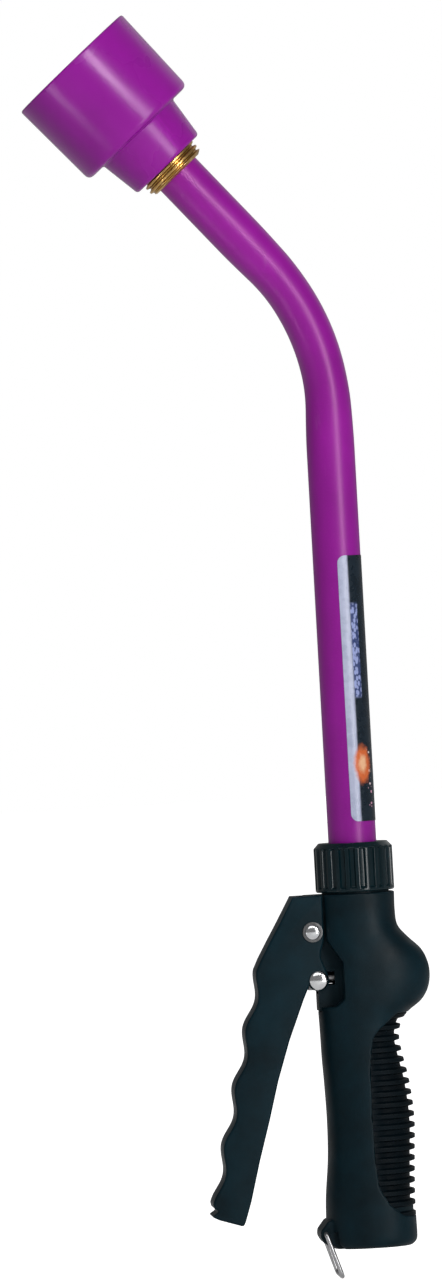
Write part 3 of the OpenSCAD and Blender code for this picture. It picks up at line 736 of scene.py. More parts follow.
def label_film():
    """Printed film: silver strips along both borders, and on the black between them a pale mottled
    panel, a warm blurred patch and a column of small marks."""
    f = Finish("label_film", IOR=1.5, Specular_IOR_Level=0.3)
    # heights in metres, and angles in from the film's border in radians
    panel_z, panel_in = (0.217, 0.254), (0.42, 0.78)
    marks_z, marks_in = (0.1725, 0.1965), (0.86, 1.12)
    patch_z, patch_in = 0.1905, 0.64
    height = f.axis("Z")
    turn = f.maths("ABSOLUTE", f.maths("ARCTAN2", f.axis("Y"), f.axis("X")), 0.0)
    inward = f.maths("SUBTRACT", LABEL_HALF, turn)

    def band(value, low, high, blur):
        """1 between low and high, 0 outside."""
        rise = f.span(value, low - blur, low + blur)
        return f.maths("MULTIPLY", rise, f.span(value, high - blur, high + blur, 1, 0))

    film = f.noise(240, 3)
    black = f.blend(f.span(film, 0.3, 0.7), (0.004, 0.010, 0.017, 1), (0.007, 0.016, 0.027, 1))
    # mottled panel in lilac and blue
    panel = f.maths("MULTIPLY", band(height, *panel_z, 0.0006), band(inward, *panel_in, 0.02))
    specks = f.span(f.cells(900, f.stretch((1, 1, 0.6))), 0.42, 0.62)
    panel_colour = f.blend(specks, (0.30, 0.35, 0.62, 1), (0.04, 0.06, 0.17, 1))
    colour = f.blend(panel, black, panel_colour)
    # small marks
    marks = f.maths("MULTIPLY", band(height, *marks_z, 0.0005), band(inward, *marks_in, 0.02))
    dots = f.span(f.cells(520, f.stretch((1, 1, 1.3))), 0.34, 0.46, 1, 0)
    mark_colour = f.blend(f.span(height, 0.180, 0.184), (0.62, 0.30, 0.44, 1), (0.66, 0.62, 0.60, 1))
    colour = f.tinge(marks, dots, colour, mark_colour)
    strip = f.span(inward, 0.38, 0.46, 1, 0)
    silver = f.blend(f.span(film, 0.3, 0.7), (0.36, 0.39, 0.54, 1), (0.46, 0.49, 0.64, 1))
    colour = f.blend(strip, colour, silver)
    # warm patch with ragged edges
    up = f.maths("SUBTRACT", height, patch_z)
    aside = f.maths("MULTIPLY", f.maths("SUBTRACT", inward, patch_in), 0.018)
    squares = f.maths("ADD", f.maths("MULTIPLY", up, up), f.maths("MULTIPLY", aside, aside))
    reach = f.maths("SQRT", squares, 0.0)
    ragged = f.maths("ADD", reach, f.maths("MULTIPLY", f.noise(420, 3), 0.004))
    colour = f.blend(f.span(ragged, 0.0075, 0.0105, 1, 0), colour, (0.62, 0.13, 0.035, 1))
    colour = f.blend(f.span(ragged, 0.0035, 0.0065, 1, 0), colour, (0.80, 0.46, 0.26, 1))
    crease = f.bump(f.noise(90, 5, 0.6), 0.00008, 0.25)
    return f.finish(colour, f.span(film, 0.3, 0.7, 0.22, 0.34), crease)


def floor_card():
    """Matt white card that glows for the camera only, so that it doesn't light the wand from below."""
    f = Finish("floor_card", Emission_Color=(1, 1, 1, 1))
    seen = f.node("LightPath").outputs["Is Camera Ray"]
    f.feed(f.shader.inputs["Emission Strength"], f.span(seen, 0, 1, 0.2, 1.0))
    cloud = f.noise(3, 2)
    colour = f.blend(cloud, (0.90, 0.90, 0.90, 1), (0.92, 0.92, 0.92, 1))
    return f.finish(colour, 0.9)


# ---------- the tube, its label, the collar and the brass ----------

class WAND_OT_tube(bpy.types.Operator):
    """Bent tube, slightly flattened in its bend"""
    bl_idname = "wand.tube"
    bl_label = "Tube"

    def execute(self, context):
        tube = sizes("wand_tube")
        start, radius = tube.bend_start / MM, tube.bend_radius / MM
        angle, end = tube.bend_angle, tube.end / MM
        reach = radius * math.tan(angle / 2)
        arc_length = radius * angle
        ease = 16.0
        stations = []
        bottom = TUBE_LOW.z
        straight = start - bottom
        upper = end - reach
        total = straight + arc_length + upper
        steps = 300
        for i in range(steps + 1):
            s = total * i / steps
            flat = smooth_step((s - straight + ease) / (2 * ease)) * smooth_step(
                (straight + arc_length + ease - s) / (2 * ease))
            if s <= straight:
                point, turn = Vector((0, 0, bottom + s)), 0.0
            elif s <= straight + arc_length:
                turn = (s - straight) / radius
                point = Vector((-radius + radius * math.cos(turn), 0, start + radius * math.sin(turn)))
            else:
                turn = angle
                corner = Vector((-radius + radius * math.cos(angle), 0, start + radius * math.sin(angle)))
                point = corner + Vector((-math.sin(angle), 0, math.cos(angle))) * (s - straight - arc_length)
            stations.append((point, turn, flat * tube.flattening))

        def rings(wall, order):
            made = []
            for point, turn, flat in order:
                out = Vector((math.cos(turn), 0, math.sin(turn)))
                a, b = (TUBE_R - wall) * (1 - flat), (TUBE_R - wall) * (1 + 0.45 * flat)
                ring = []
                for k in range(72):
                    t = 2 * math.pi * k / 72
                    inner_side = 1 - 0.25 * flat * max(0.0, -math.cos(t))
                    sideways = Vector((0, 1, 0)) * b * math.sin(t)
                    ring.append(point + out * a * math.cos(t) * inner_side + sideways)
                made.append(ring)
            return made

        whole = rings(0, stations) + rings(tube.wall / MM, stations[::-1])
        piece = solid("bent_tube", *skin(whole, loop=True))
        wear(piece, powder_coat(), "handle", "tube_purple", "wand_tube")
        return {"FINISHED"}


class WAND_OT_label(bpy.types.Operator):
    """Printed film wrapped round the tube's rear"""
    bl_idname = "wand.label"
    bl_label = "Label"

    def execute(self, context):
        low, high = LABEL_LOW.z, LABEL_HIGH.z
        half = LABEL_HALF
        corner = 3.0
        thickness = 0.18
        rows, columns = 90, 64
        under, over = [], []
        for r in range(rows + 1):
            share = r / rows
            z = low + (high - low) * (0.5 - 0.5 * math.cos(math.pi * share))
            near = min(z - low, high - z, corner)
            short = corner - math.sqrt(max(corner ** 2 - (corner - near) ** 2, 0))
            reach = half - short / TUBE_R
            for points, radius in ((under, TUBE_R + 0.02), (over, TUBE_R + 0.02 + thickness)):
                points.append([(radius * math.cos(a), radius * math.sin(a), z)
                               for a in (reach * (2 * c / columns - 1) for c in range(columns + 1))])
        rings = [u + list(reversed(o)) for u, o in zip(under, over)]
        piece = solid("label_film_wrap", *skin(rings), angle=60)
        wear(piece, label_film(), "handle", "label_film", "tube_label")
        return {"FINISHED"}


class WAND_OT_collar(bpy.types.Operator):
    """Fluted collar nut with a plain chamfered top"""
    bl_idname = "wand.collar"
    bl_label = "Collar nut"

    def execute(self, context):
        low, high = COLLAR_LOW.z, COLLAR_HIGH.z
        flutes = sizes("wand_grip").flutes
        chamfer, lip = 2.1, 0.45
        thread_r = TUBE_R + 3.9
        step = high - low - 14.1

        def outer(share, h):
            up, down = h - low, high - h
            radius = COLLAR_R
            if down < chamfer:
                radius -= (chamfer - down) * 0.95
            if up < lip:
                radius -= lip - up
            wave = math.cos(2 * math.pi * flutes * share)
            land = smooth_step((wave + 0.25) / 0.75)
            fade = smooth_step((down - chamfer * 0.75) / 1.1) * smooth_step((up - 1.0) / 1.2)
            return radius - 0.95 * (1 - land) * fade

        def inner(share, h):
            return thread_r if h < high - step else TUBE_R + 0.15

        piece = height_tube("collar_nut_fluted", low, high, outer, inner,
                            columns=flutes * 16, rows=96, angle=28)
        wear(piece, collar_plastic(), "handle", "black_gloss", "collar_nut")
        return {"FINISHED"}


def thread_wave(share, h, pitch, start, end):
    """Height of a thread form from 0 at its root to 1 at its crest, fading out at both ends."""
    phase = (h / pitch - share) % 1.0
    form = smooth_step((abs(phase - 0.5) * 2 - 0.18) / 0.55)
    return form * smooth_step((h - start) / (pitch * 0.6)) * smooth_step((end - h) / (pitch * 0.4))


class WAND_OT_brass(bpy.types.Operator):
    """Brass fitting on the tube's end, with its screw thread"""
    bl_idname = "wand.brass"
    bl_label = "Brass fitting"

    def execute(self, context):
        start = sizes("wand_tube").end / MM - 9
        length, depth = 14.5, 1.25
        crest = TUBE_R + 3.6
        seat = sizes("wand_tube").end / MM + 0.1

        def outer(share, h):
            edge = max(0.0, 0.5 - (h - start), 0.5 - (start + length - h))
            wave = thread_wave(share, h, THREAD_PITCH, start + 0.1, start + length)
            return crest - depth + depth * wave - edge

        def inner(share, h):
            return TUBE_R + 0.05 if h < seat else TUBE_R - 1.2

        piece = height_tube("brass_thread", start, start + length, outer, inner, along_head(),
                            columns=128, rows=116, angle=45)
        wear(piece, brass(), "handle", "brass", "brass_nipple")
        return {"FINISHED"}


# ---------- the shower head ----------

class WAND_OT_head(bpy.types.Operator):
    """Head housing with its stepped neck"""
    bl_idname = "wand.head"
    bl_label = "Head housing"

    def execute(self, context):
        head = sizes("wand_head")
        start = sizes("wand_tube").end / MM - 3.5
        shoulder = start + head.neck / MM
        face = shoulder + head.body / MM
        radius, wall = head.radius / MM, head.wall / MM
        neck = head.neck_radius / MM
        bore, passage = TUBE_R + 3.7, TUBE_R + 0.1
        thread_end = start + 11.5
        rear = radius - head.taper / MM
        plate = radius - wall + 0.1
        seat = face - 3.7
        cavity = plate - 2.0
        profile = rounded([
            (bore, start, 0.4), (neck, start, 1.7), (neck + 2.3, shoulder, 1.2), (rear, shoulder, 2.8),
            (radius, face, 1.5), (plate, face, 0.35), (plate, seat, 0.1), (cavity, seat, 0.3),
            (cavity, shoulder + wall, 4.5), (passage, shoulder + wall, 1.5), (passage, thread_end, 0.3),
            (bore, thread_end, 0.2)], 0.5, 8)
        piece = lathe("head_housing", profile, along_head(), 192, angle=40)
        wear(piece, head_plastic(), "handle", "head_purple", "head_body")
        return {"FINISHED"}


class WAND_OT_rose(bpy.types.Operator):
    """Perforated rose plate, slightly domed"""
    bl_idname = "wand.rose"
    bl_label = "Rose plate"

    def execute(self, context):
        head = sizes("wand_head")
        face = (sizes("wand_tube").end + head.neck + head.body) / MM - 3.5
        radius = (head.radius - head.wall) / MM
        thickness = 2.6
        low = face - 1 - thickness
        dome = 0.7
        rings = head.rings
        pitch = (radius - 3.2) / rings
        rim = radius - 1.6
        top = [(rim * t, low + thickness - 0.4 + dome * (1 - t * t))
               for t in (1, 0.85, 0.7, 0.55, 0.4, 0.25, 0.12, 0)]
        profile = [(0, low), (radius, low), (radius, low + thickness - 0.3), (radius - 0.3, low + thickness),
                   (rim + 0.5, low + thickness), (rim + 0.15, low + thickness - 0.35)] + top
        piece = lathe("rose_plate_drilled", profile, along_head(), 160, angle=30)
        places = [(0, 0)]
        for ring in range(1, rings + 1):
            for i in range(6 * ring):
                a = math.radians(60 * i / ring)
                places.append((ring * pitch * math.cos(a), ring * pitch * math.sin(a)))
        points, faces = [], []
        hole, sides = head.hole / MM, 14
        for x, y in places:
            ring = [(x + hole * math.cos(a), y + hole * math.sin(a)) for a in whole_turn(sides)]
            append_skin(points, faces, skin([[along_head() @ Vector((px, py, h)) for px, py in ring]
                                             for h in (low - 1, low + thickness + 2)]))
        carve(piece, [solid("drills", points, faces)])
        shade(piece.data, 30)
        wear(piece, head_plastic(), "handle", "head_purple", "rose_plate")
        return {"FINISHED"}


# ---------- the grip ----------

def grip_knots():
    """Height, front, rear and half width of the handle, as its design gives them."""
    bell, tower = BELL_R, TOWER_R
    return [
        (0, -bell - 0.45, bell - 1.15, bell - 0.75), (1, -bell - 1.65, bell + 0.05, bell + 0.45),
        (2.6, -bell - 2.35, bell + 0.85, bell + 1.15), (10, -bell - 2.45, bell + 0.85, bell + 1.15),
        (20, -bell - 2.05, bell + 0.95, bell + 1.05), (35 * HAND, -16.6, 17.8, 16.8),
        (50 * HAND, -16.1, 18.5, 16.4), (65 * HAND, -16.4, 17.2, 16), (75 * HAND, -16.8, 15.2, 15.6),
        (82 * HAND, -16.9, 14.2, 15.4), (STEM_Z - 18.9, -17, 15.4, 15.6), (STEM_Z - 14.9, -17.1, 18.4, 16),
        (STEM_Z - 10.9, -17.2, 23.7, 16.4), (STEM_Z - 5.9, -17.2, 26.8, 16.7),
        (STEM_Z + 0.6, -17.1, 27.7, 16.8),
        (STEM_Z + 6.1, -16.6, 26.5, 16.6), (STEM_Z + 10.1, -16.2, 24.2, 16.2),
        (STEM_Z + 14.1, -15.8, 20.1, 15.9),
        (STEM_Z + 19.1, -tower - 2.8, tower + 3.4, tower + 2.9),
        (STEM_Z + 25.1, -tower - 2.4, tower + 2.6, tower + 2.6),
        (HANDLE_H, -tower - 2.2, tower + 2.7, tower + 2.6)]


def grip_value(knots, z, column):
    """Smooth curve through one column of the knots."""
    i = 0
    while i < len(knots) - 2 and z >= knots[i + 1][0]:
        i += 1

    def slope(k):
        if k <= 0 or k >= len(knots) - 1:
            return 0.0
        return (knots[k + 1][column] - knots[k - 1][column]) / (knots[k + 1][0] - knots[k - 1][0])

    h = knots[i + 1][0] - knots[i][0]
    t = (z - knots[i][0]) / h
    return ((2 * t ** 3 - 3 * t * t + 1) * knots[i][column] + (t ** 3 - 2 * t * t + t) * h * slope(i)
            + (3 * t * t - 2 * t ** 3) * knots[i + 1][column] + (t ** 3 - t * t) * h * slope(i + 1))


def grip_ring(knots, z, depth, sides=144, power=2.4):
    """One section of the handle, moved in by a depth that may depend on the angle."""
    front, rear, half = (grip_value(knots, z, c) for c in (1, 2, 3))
    ring = []
    for k in range(sides):
        a = 2 * math.pi * k / sides
        c, s = math.cos(a), math.sin(a)
        inward = depth(z, a) if callable(depth) else depth
        reach = (rear if c > 0 else -front) - inward
        ring.append((reach * math.copysign(abs(c) ** (2 / power), c),
                     (half - inward) * math.copysign(abs(s) ** (2 / power), s), z))
    return ring


def grip_blank(name, depth, low, high, step):
    knots = grip_knots()
    count = max(2, round((high - low) / step))
    heights = [low + (high - low) * i / count for i in range(count + 1)]
    return solid(name, *skin([grip_ring(knots, z, depth) for z in heights]))


def pad_outline():
    """Border of the pad's seat seen from the side."""
    top = STEM_Z - 15.2
    return rounded([(40, top), (12.6, top, 3), (5.1, top - 6.1, 4), (2.5, top - 9, 5), (0.8, top - 20.1, 20),
                    (0.4, 50.6 * HAND, 20), (0.7, 32.8, 20), (1.7, 23.6, 9), (5.3, 17, 6), (11.1, 12, 5),
                    (40, 9.5)], 2, 8)


def cheek_pocket():
    """Room for the lever's cheeks seen from the side."""
    wall = -TOWER_R - 0.6
    return rounded([(-40, STEM_Z - 11.4), (-11, STEM_Z - 11.4, 3), (-7.6, STEM_Z - 8.4, 4),
                    (-7.6, STEM_Z + 6.1, 4),
                    (wall, STEM_Z + 15.1, 6), (wall, HANDLE_H + 5), (-40, HANDLE_H + 5)], 2, 6)


def valve_room(gap):
    """Cutters for the space that the valve body fills inside the grip."""
    feed_low, feed_high = Vector((2, 0, STEM_Z - 20.9)), Vector((14, 0, STEM_Z - 6.9))
    feed = Matrix.Translation(feed_low) @ (feed_high - feed_low).to_track_quat("Z", "Y").to_matrix().to_4x4()
    return [
        rod("bell_room", BELL_R + gap, 2.5 - gap, 16 + gap), rod("tube_room", 9 + gap, 10, STEM_Z - 10.9),
        rod("feed_room", 5.2 + gap, -0.02, (feed_high - feed_low).length, feed),
        rod("barrel_room", 9.8 + gap, -7.6, 21.7, along_x(STEM_Z)),
        rod("cap_room", 8.7 + gap, 21.5, 23.3, along_x(STEM_Z)),
        rod("tower_room", TOWER_R + gap, STEM_Z, HANDLE_H + 2)]


class WAND_OT_grip(bpy.types.Operator):
    """Moulded grip with its ball, cheek pockets, clip lug and pad seat"""
    bl_idname = "wand.grip"
    bl_label = "Grip"

    def execute(self, context):
        grip = sizes("wand_grip")
        seat = grip.pad_depth / MM + 0.1
        piece = grip_blank("moulded_grip", 0, 0, HANDLE_H, 1.0)
        hinge = CLIP_PIVOT
        lug_half = LEVER_HALF + 0.35
        lug = slab("lug", rounded([(hinge.x + 5, 1.4), (hinge.x + 1.2, 1.4), (hinge.x - 0.8, 2.6),
                                   (hinge.x - 2.1, 5), (hinge.x - 2, 7.4), (hinge.x + 1.2, 11.4),
                                   (hinge.x + 5, 11.4)], 1.6, 5), lug_half, 0.8)
        carve(piece, [lug], "UNION")
        room = grip_blank("seat_core", seat, 0, HANDLE_H, 2.0)
        seat_block = slab("seat_block", pad_outline(), 60)
        carve(seat_block, [room])
        wall, play, seam = 2.2, 0.6, 0.1
        web = LEVER_HALF - wall - play + seam
        slot = slab("web_slot", [Vector(p) for p in (
            (-30, STEM_Z - 13), (-30, HANDLE_H + 3), (0.1, HANDLE_H + 3), (0.1, STEM_Z - 13))], web)
        clip_slots = []
        for side in (-1, 1):
            leg = side * (LEVER_HALF + 1.4)
            place = Matrix.Translation((hinge.x, leg, hinge.z)) @ Matrix.Rotation(math.pi / 2, 4, "X")
            clip_slots.append(rod("leg_slot", 2.0, -1.3, 1.3, place, 32))
            points = [(x, leg + y, z) for x in (hinge.x - 3, hinge.x + 6.8) for y in (-1.3, 1.3)
                      for z in (-2, hinge.z + 0.6)]
            faces = [(0, 1, 3, 2), (4, 6, 7, 5), (0, 4, 5, 1), (2, 3, 7, 6), (0, 2, 6, 4), (1, 5, 7, 3)]
            clip_slots.append(solid("leg_notch", points, faces))
        carve(piece, [seat_block, slab("pocket", cheek_pocket(), 60), slot] + clip_slots + valve_room(0.1)
              + [lathe("mouth", [(0, -2), (INSERT_R - 0.8, -2), (INSERT_R - 0.8, MOUTH_LIP),
                                 (INSERT_R + 0.1, MOUTH_LIP), (INSERT_R + 0.1, 8), (0, 8)])])
        melt(piece, grip.voxel / MM)
        shade(piece.data, 40)
        wear(piece, grip_plastic(), "handle", "grip_rubber", "grip_cover")
        return {"FINISHED"}


class WAND_OT_pad(bpy.types.Operator):
    """Ribbed rubber inlay in the grip's rear"""
    bl_idname = "wand.pad"
    bl_label = "Rib pad"

    def execute(self, context):
        grip = sizes("wand_grip")
        pitch, depth = grip.rib_pitch / MM, grip.rib_depth / MM
        low, high = 8.0, STEM_Z - 12.9

        def ribs(z, angle):
            phase = ((z - low) / pitch) % 1.0
            groove = smooth_step((0.34 - abs(phase - 0.5)) / 0.16)
            side = smooth_step((math.cos(angle) + 0.05) / 0.35)
            return depth * groove * side + 0.05

        piece = grip_blank("ribbed_pad", ribs, low, high, 0.22)
        core = grip_blank("pad_core", grip.pad_depth / MM, low - 2, high + 2, 2.0)
        carve(piece, [slab("pad_block", pad_outline(), 60)], "INTERSECT")
        carve(piece, [core])
        shade(piece.data, 40)
        wear(piece, pad_rubber(), "handle", "pad_rubber", "rib_pad")
        return {"FINISHED"}


# ---------- the hose inlet ----------

class WAND_OT_inlet(bpy.types.Operator):
    """Brass hose insert with its female thread, washer and woven strainer"""
    bl_idname = "wand.inlet"
    bl_label = "Hose inlet"

    def execute(self, context):
        low, high = INSERT_LOW.z + MOUTH_LIP + 0.1, INSERT_HIGH.z
        bore, depth, thread = 12.3, 1.15, 9.5 - MOUTH_LIP - 0.1

        def outer(share, h):
            return INSERT_R - max(0.0, 0.4 - (h - low))

        def inner(share, h):
            up = h - low
            if up > high - low - 1.5:
                return 7.6
            if up > thread:
                return bore + 0.4
            mouth = max(0.0, 1.2 - up)
            wave = thread_wave(share, h, THREAD_PITCH, low - 3, low + thread)
            return bore + depth * (1 - wave) * 0.9 + mouth * 0.6

        piece = height_tube("threaded_insert", low, high, outer, inner, columns=144, rows=112, angle=45)
        wear(piece, brass(), "handle", "brass", "inlet_insert")

        washer = lathe("hose_washer_ring", rounded(
            [(7.8, low + thread + 0.1), (bore + 0.3, low + thread + 0.1), (bore + 0.3, low + thread + 2.3),
             (7.8, low + thread + 2.3)], 0.5))
        wear(washer, seal_rubber(), "handle", "seal_rubber", "hose_washer")

        reach, gap, level = 8.6, 1.05, low + thread + 2.65
        points, faces = [], []
        count = int(reach / gap)
        for way in (0, 1):
            for i in range(-count, count + 1):
                off = i * gap
                half = math.sqrt(reach ** 2 - off ** 2)
                steps = max(8, int(half * 8))
                route = []
                for s in range(steps + 1):
                    t = -half + 2 * half * s / steps
                    weave = 0.12 * math.cos(math.pi * (t / gap + i + way))
                    route.append(Vector((t, off, level + weave) if way == 0 else (off, t, level - weave)))
                append_skin(points, faces, wire_skin(route, 0.11, 6))
        net = solid("strainer_net", points, faces, angle=60)
        wear(net, steel(), "handle", "steel", "inlet_screen")
        rim = lathe("strainer_rim", rounded(
            [(8.0, level - 0.25), (bore + 0.2, level - 0.25), (bore + 0.2, level + 0.2),
             (8.0, level + 0.2)], 0.15))
        wear(rim, steel(), "handle", "steel")
        return {"FINISHED"}


# ---------- the lever, its pins and the clip ----------

def lever_front(groove):
    """Front edge of the lever from its top to its hooked tip."""
    dz = PIVOT.z - DRAWN_PIVOT_Z
    top, end = Vector((-41.6, 111.5 + dz)), Vector((-63.6, 20.6 + dz))
    run = end - top
    out = Vector((run.y, -run.x)).normalized()
    waves, steps = 4, 22
    edge = rounded([(-25.6, 139.6 + dz), (-31.3, 129.7 + dz, 10), (-35.3, 123 + dz, 10),
                    (-39.6, 115.6 + dz, 4),
                    (top.x, top.y)], 2, 6, closed=False)
    for i in range(1, waves * steps + 1):
        t = i / (waves * steps)
        edge.append(top + run * t - out * groove / 2 * (1 - math.cos(2 * math.pi * waves * t)))
    return edge + rounded([tuple(edge[-1]), (-63.3, 19 + dz, 0.8), (-61.6, 17.6 + dz, 0.7),
                           (-64.4, 15.7 + dz, 0.6),
                           (-61.5, 14.2 + dz)], 1, 5, closed=False)[1:-1]


def lever_rear():
    """Rear edge of the lever from its tip up to its top, round the link pin's ear."""
    dz = PIVOT.z - DRAWN_PIVOT_Z
    low = rounded([(-61.5, 14.2 + dz), (-52, 11.1 + dz, 1.2), (-51, 13.1 + dz, 2), (-48.4, 20.9 + dz, 20),
                   (-44.2, 36.5 + dz, 40), (-39.5, 52.1 + dz, 40), (-35.2, 67.6 + dz, 40),
                   (-29.9, 83.2 + dz, 40),
                   (-23.6, 98.6 + dz, 20), (-21.3, 103.6 + dz)], 2, 5, closed=False)
    ear = [Vector((LINK.x, LINK.z)) + Vector((math.cos(a), math.sin(a))) * 4.2
           for a in (math.radians(205 + 180 * k / 20) for k in range(21))]
    high = rounded([tuple(ear[-1]), (-16.1, 116 + dz, 6), (-14.1, 122 + dz, 6), (-14, 139.6 + dz, 1.2),
                    (-20, 139.6 + dz)], 2, 6, closed=False)
    return low + ear + high[1:]


class WAND_OT_lever(bpy.types.Operator):
    """Squeeze lever: a channel with finger grooves and a hooked tip"""
    bl_idname = "wand.lever"
    bl_label = "Lever"

    def execute(self, context):
        lever = sizes("wand_lever")
        wall = lever.wall / MM
        dz = PIVOT.z - DRAWN_PIVOT_Z
        front = lever_front(lever.groove / MM)
        outline = front + lever_rear()
        piece = slab("grooved_lever", outline, LEVER_HALF, lever.fillet / MM, 6)
        shift = Vector((wall * 1.1, 0))
        inner = [p + shift for p in front]
        hollow = [Vector(p) for p in ((-20, 150 + dz), (front[0].x + shift.x, 150 + dz))] + inner[:-6] + [
            Vector(p) for p in ((-60, 15.9 + dz), (-57, 15 + dz), (-55, 8 + dz), (0, 8 + dz), (0, 150 + dz))]
        carve(piece, [slab("channel", hollow, LEVER_HALF - wall, 0.8, 3)])
        self.add_ribs(piece, front, wall, dz)
        shade(piece.data, 34)
        wear(piece, lever_plastic(), "lever", "lever_plastic", "lever")
        return {"FINISHED"}

    def add_ribs(self, piece, front, wall, dz):
        """Stiffening ribs across the inside of the channel, low enough to clear the handle."""
        half = LEVER_HALF - wall + 0.3
        ribs = []
        for k in range(4):
            z = 40 + 19 * k + dz
            x = min(front, key=lambda p: abs(p.y - z)).x + wall
            outline = rounded([(x - 0.8, z - 0.7), (x + 4.6, z - 0.5, 0.4), (x + 4.6, z + 0.5, 0.4),
                               (x - 0.8, z + 0.7)], 0.1, 3)
            ribs.append(slab("rib", outline, half))
        carve(piece, ribs, "UNION")


class WAND_OT_pins(bpy.types.Operator):
    """Domed pivot pin and link pin, and the pivot's washers"""
    bl_idname = "wand.pins"
    bl_label = "Pins and washers"

    def execute(self, context):
        washer = 0.5
        for name, node, at, shank, head, rise, seat in (
                ("domed_pivot_pin", "pivot_pin", PIVOT, 1.95, 3.0, 1.3, LEVER_HALF + washer + 0.02),
                ("domed_link_pin", "link_pin", LINK, 1.6, 3.8, 1.6, LEVER_HALF + 0.02)):
            rim = 0.28
            dome = [(head * math.cos(math.radians(a)), seat + rim + (rise - rim) * math.sin(math.radians(a)))
                    for a in range(0, 91, 6)]
            side = [(shank, seat), (head - 0.2, seat), (head, seat + 0.14)] + dome
            profile = side + [(r, -h) for r, h in reversed(side)]
            piece = lathe(name, profile, across(at), 72)
            wear(piece, chrome(), "lever", "chrome", node)
        points, faces = [], []
        for side in (-1, 1):
            near, far = side * (LEVER_HALF + 0.01), side * (LEVER_HALF + washer)
            ring = rounded([(2.0, near), (4.0, near), (4.0, far), (2.0, far)], 0.16, 3)
            append_skin(points, faces, turned(ring, across(PIVOT), 72))
        piece = solid("pivot_washer_pair", points, faces)
        wear(piece, steel("dark_steel", 0.16, 0.3, 0.45), "lever", "steel", "pivot_washers")
        return {"FINISHED"}


class WAND_OT_clip(bpy.types.Operator):
    """Wire clip that holds the lever open"""
    bl_idname = "wand.clip"
    bl_label = "Lock clip"

    def execute(self, context):
        lever = sizes("wand_lever")
        half, length, pin = LEVER_HALF + 1.4, lever.clip_length / MM, 3.5
        down = Vector((math.sin(lever.clip_rest), 0, -math.cos(lever.clip_rest)))
        side = Vector((0, 1, 0))
        near, far = side * (half - pin), side * half
        route = [CLIP_PIVOT + near, CLIP_PIVOT + far, CLIP_PIVOT + far + down * length,
                 CLIP_PIVOT - far + down * length, CLIP_PIVOT - far, CLIP_PIVOT - near]
        piece = wire("wire_clip", rounded_route(route, 2.0, 8), lever.wire / MM, 18)
        wear(piece, steel("wire_steel", 0.5, 0.24, 0.4), "clip", "steel", "lock_clip")
        return {"FINISHED"}


class WAND_OT_spring(bpy.types.Operator):
    """Valve spring: a coil of wire as long and as wide as its node"""
    bl_idname = "wand.spring"
    bl_label = "Valve spring"

    def execute(self, context):
        low, high = node_box("valve_spring")
        turns, wire_r, steps = 4, 0.45, 160
        coil_r = high.y - wire_r
        start, end = low.x + wire_r, high.x - wire_r
        route = []
        for k in range(steps + 1):
            a = 2 * math.pi * turns * k / steps
            x = start + (end - start) * k / steps
            route.append((x, coil_r * math.cos(a), STEM_Z + coil_r * math.sin(a)))
        piece = wire("coil_spring", route, wire_r, 12)
        wear(piece, steel(), "handle", "steel", "valve_spring")
        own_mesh(piece)
        return {"FINISHED"}


class WAND_OT_works(bpy.types.Operator):
    """Finishes on the valve's inner pieces and the seals, which keep their mechanical shape"""
    bl_idname = "wand.works"
    bl_label = "Valve works"

    def execute(self, context):
        finishes = {
            seal_rubber: ("tube_oring", "head_washer", "face_oring", "stem_oring", "cap_oring",
                          "valve_washer"),
            white_nylon: ("tube_ferrule", "diffuser_disc", "pivot_bush"),
            brass: ("packing_nut", "seat_ring", "spring_cap", "washer_holder"),
            steel: ("head_screen", "valve_stem", "stem_nut"),
            valve_plastic: ("valve_body",),
        }
        for make, names in finishes.items():
            finish = make()
            for name in names:
                node = frame["nodes"][name]
                node.data.materials.clear()
                node.data.materials.append(finish)
        return {"FINISHED"}


# ---------- the stage ----------

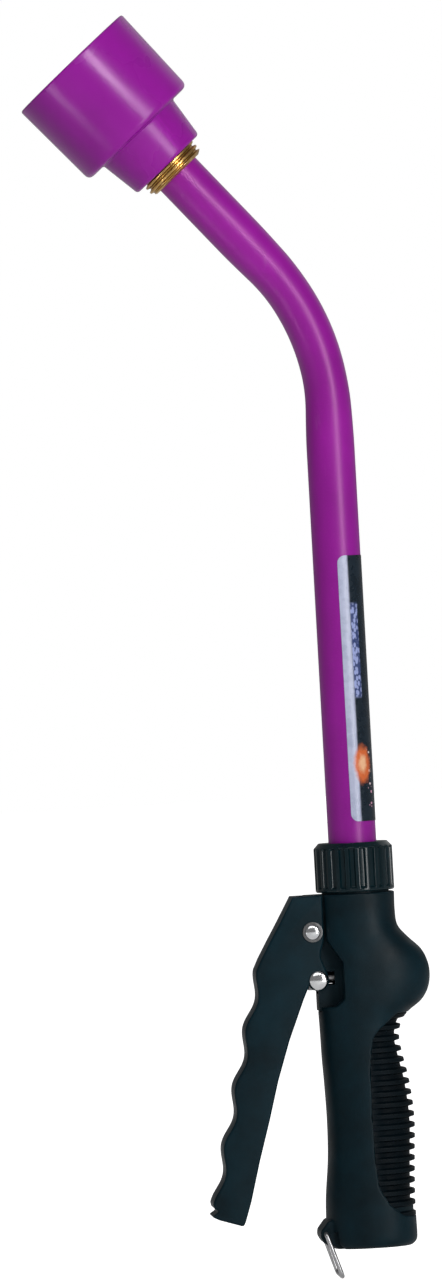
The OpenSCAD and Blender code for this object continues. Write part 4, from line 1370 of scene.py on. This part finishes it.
class WAND_OT_stage(bpy.types.Operator):
    """Floor, lamps and camera"""
    bl_idname = "wand.stage"
    bl_label = "Stage"

    def execute(self, context):
        stage = sizes("wand_stage")
        floor_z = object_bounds()[0].z - 0.002
        reach = 9.0
        mesh = bpy.data.meshes.new("floor")
        mesh.from_pydata([(-reach, -reach, floor_z), (reach, -reach, floor_z), (reach, reach, floor_z),
                          (-reach, reach, floor_z)], [], [(0, 1, 2, 3)])
        mesh.materials.append(floor_card())
        floor = bpy.data.objects.new("floor", mesh)
        context.scene.collection.objects.link(floor)
        floor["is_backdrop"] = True

        self.light_world(context.scene, stage)
        self.hang_lamps(context.scene, stage)

        target = Vector((-0.0476, 0, 0.2424))
        back = Vector((math.sin(stage.azimuth), -math.cos(stage.azimuth), 0))
        camera = bpy.data.cameras.new("camera")
        camera.lens = stage.lens
        camera.sensor_width = 36
        camera.clip_end = 40
        viewer = bpy.data.objects.new("camera", camera)
        right = Vector((math.cos(stage.azimuth), math.sin(stage.azimuth), 0))
        up = Vector((0, 0, 1)) * math.cos(stage.lean) + right * math.sin(stage.lean)
        side = up.cross(back).normalized()
        turn = Matrix((side, up, back)).transposed().to_4x4()
        viewer.matrix_world = Matrix.Translation(target + back * stage.distance) @ turn
        context.scene.collection.objects.link(viewer)
        context.scene.camera = viewer
        return {"FINISHED"}

    def light_world(self, scene, stage):
        """White backdrop that lights the wand only faintly, so that the lamps shape it."""
        world = bpy.data.worlds.new("studio")
        world.use_nodes = True
        tree = world.node_tree
        backdrop = tree.nodes["Background"]
        backdrop.inputs["Color"].default_value = (1, 1, 1, 1)
        path = tree.nodes.new("ShaderNodeLightPath")
        strength = tree.nodes.new("ShaderNodeMapRange")
        tree.links.new(path.outputs["Is Camera Ray"], strength.inputs["Value"])
        strength.inputs["To Min"].default_value = stage.fill
        strength.inputs["To Max"].default_value = 1.0
        tree.links.new(strength.outputs[0], backdrop.inputs["Strength"])
        scene.world = world
        scene.view_settings.view_transform = "Standard"

    def hang_lamps(self, scene, stage):
        """A tall softbox on the right, two small ones that draw stripes on the head, and two weak fills."""
        middle, head = Vector((-0.04, 0, 0.24)), Vector((-0.09, 0, 0.46))
        for name, aim, way, reach, width, height, power, spread in (
                ("key", middle, (0.50, -0.84, 0.06), 1.7, 0.34, 1.2, 15, 180),
                ("high_right", head, (0.29, -0.91, 0.29), 0.85, 0.11, 0.16, 0.22, 60),
                ("low_left", head, (-0.67, -0.50, -0.55), 0.85, 0.10, 0.16, 0.09, 60),
                ("front", middle, (-0.25, -0.9, 0.75), 2.4, 1.4, 1.2, 8.5, 180),
                ("behind", middle, (0.5, 0.85, 0.5), 1.8, 1.4, 1.2, 2, 180)):
            place = aim + Vector(way).normalized() * reach
            lamp = bpy.data.lights.new(name, "AREA")
            lamp.shape = "RECTANGLE"
            lamp.size, lamp.size_y = width, height
            lamp.spread = math.radians(spread)
            lamp.energy = power * stage.light
            light = bpy.data.objects.new(name, lamp)
            light.location = place
            light.rotation_euler = (aim - place).to_track_quat("-Z", "Y").to_euler()
            scene.collection.objects.link(light)


# ---------- panel and registration ----------

STEPS = (WAND_OT_tube, WAND_OT_label, WAND_OT_collar, WAND_OT_brass, WAND_OT_head, WAND_OT_rose, WAND_OT_grip,
         WAND_OT_pad, WAND_OT_inlet, WAND_OT_lever, WAND_OT_pins, WAND_OT_clip, WAND_OT_spring,
         WAND_OT_works, WAND_OT_stage)
GROUPS = {"wand_tube": WandTubeSizes, "wand_head": WandHeadSizes, "wand_grip": WandGripSizes,
          "wand_lever": WandLeverSizes, "wand_colours": WandColours, "wand_stage": WandStage}


class WAND_PT_panel(bpy.types.Panel):
    """Lists the wand's pieces and their sizes"""
    bl_idname = "WAND_PT_panel"
    bl_label = "Watering wand"
    bl_space_type = "VIEW_3D"
    bl_region_type = "UI"
    bl_category = "Wand"

    def draw(self, context):
        for group in GROUPS:
            box = self.layout.box()
            settings = getattr(context.scene, group)
            for key in settings.__annotations__:
                box.prop(settings, key)
        for step in STEPS:
            self.layout.operator(step.bl_idname)


def register():
    for name, group in GROUPS.items():
        bpy.utils.register_class(group)
        setattr(bpy.types.Scene, name, PointerProperty(type=group))
    for step in STEPS:
        bpy.utils.register_class(step)
    bpy.utils.register_class(WAND_PT_panel)


def unregister():
    bpy.utils.unregister_class(WAND_PT_panel)
    for step in reversed(STEPS):
        bpy.utils.unregister_class(step)
    for name, group in GROUPS.items():
        delattr(bpy.types.Scene, name)
        bpy.utils.unregister_class(group)


def main():
    """Builds every piece in order."""
    register()
    for step in STEPS:
        group, name = step.bl_idname.split(".")
        getattr(getattr(bpy.ops, group), name)()


if __name__ == "__main__":
    main()
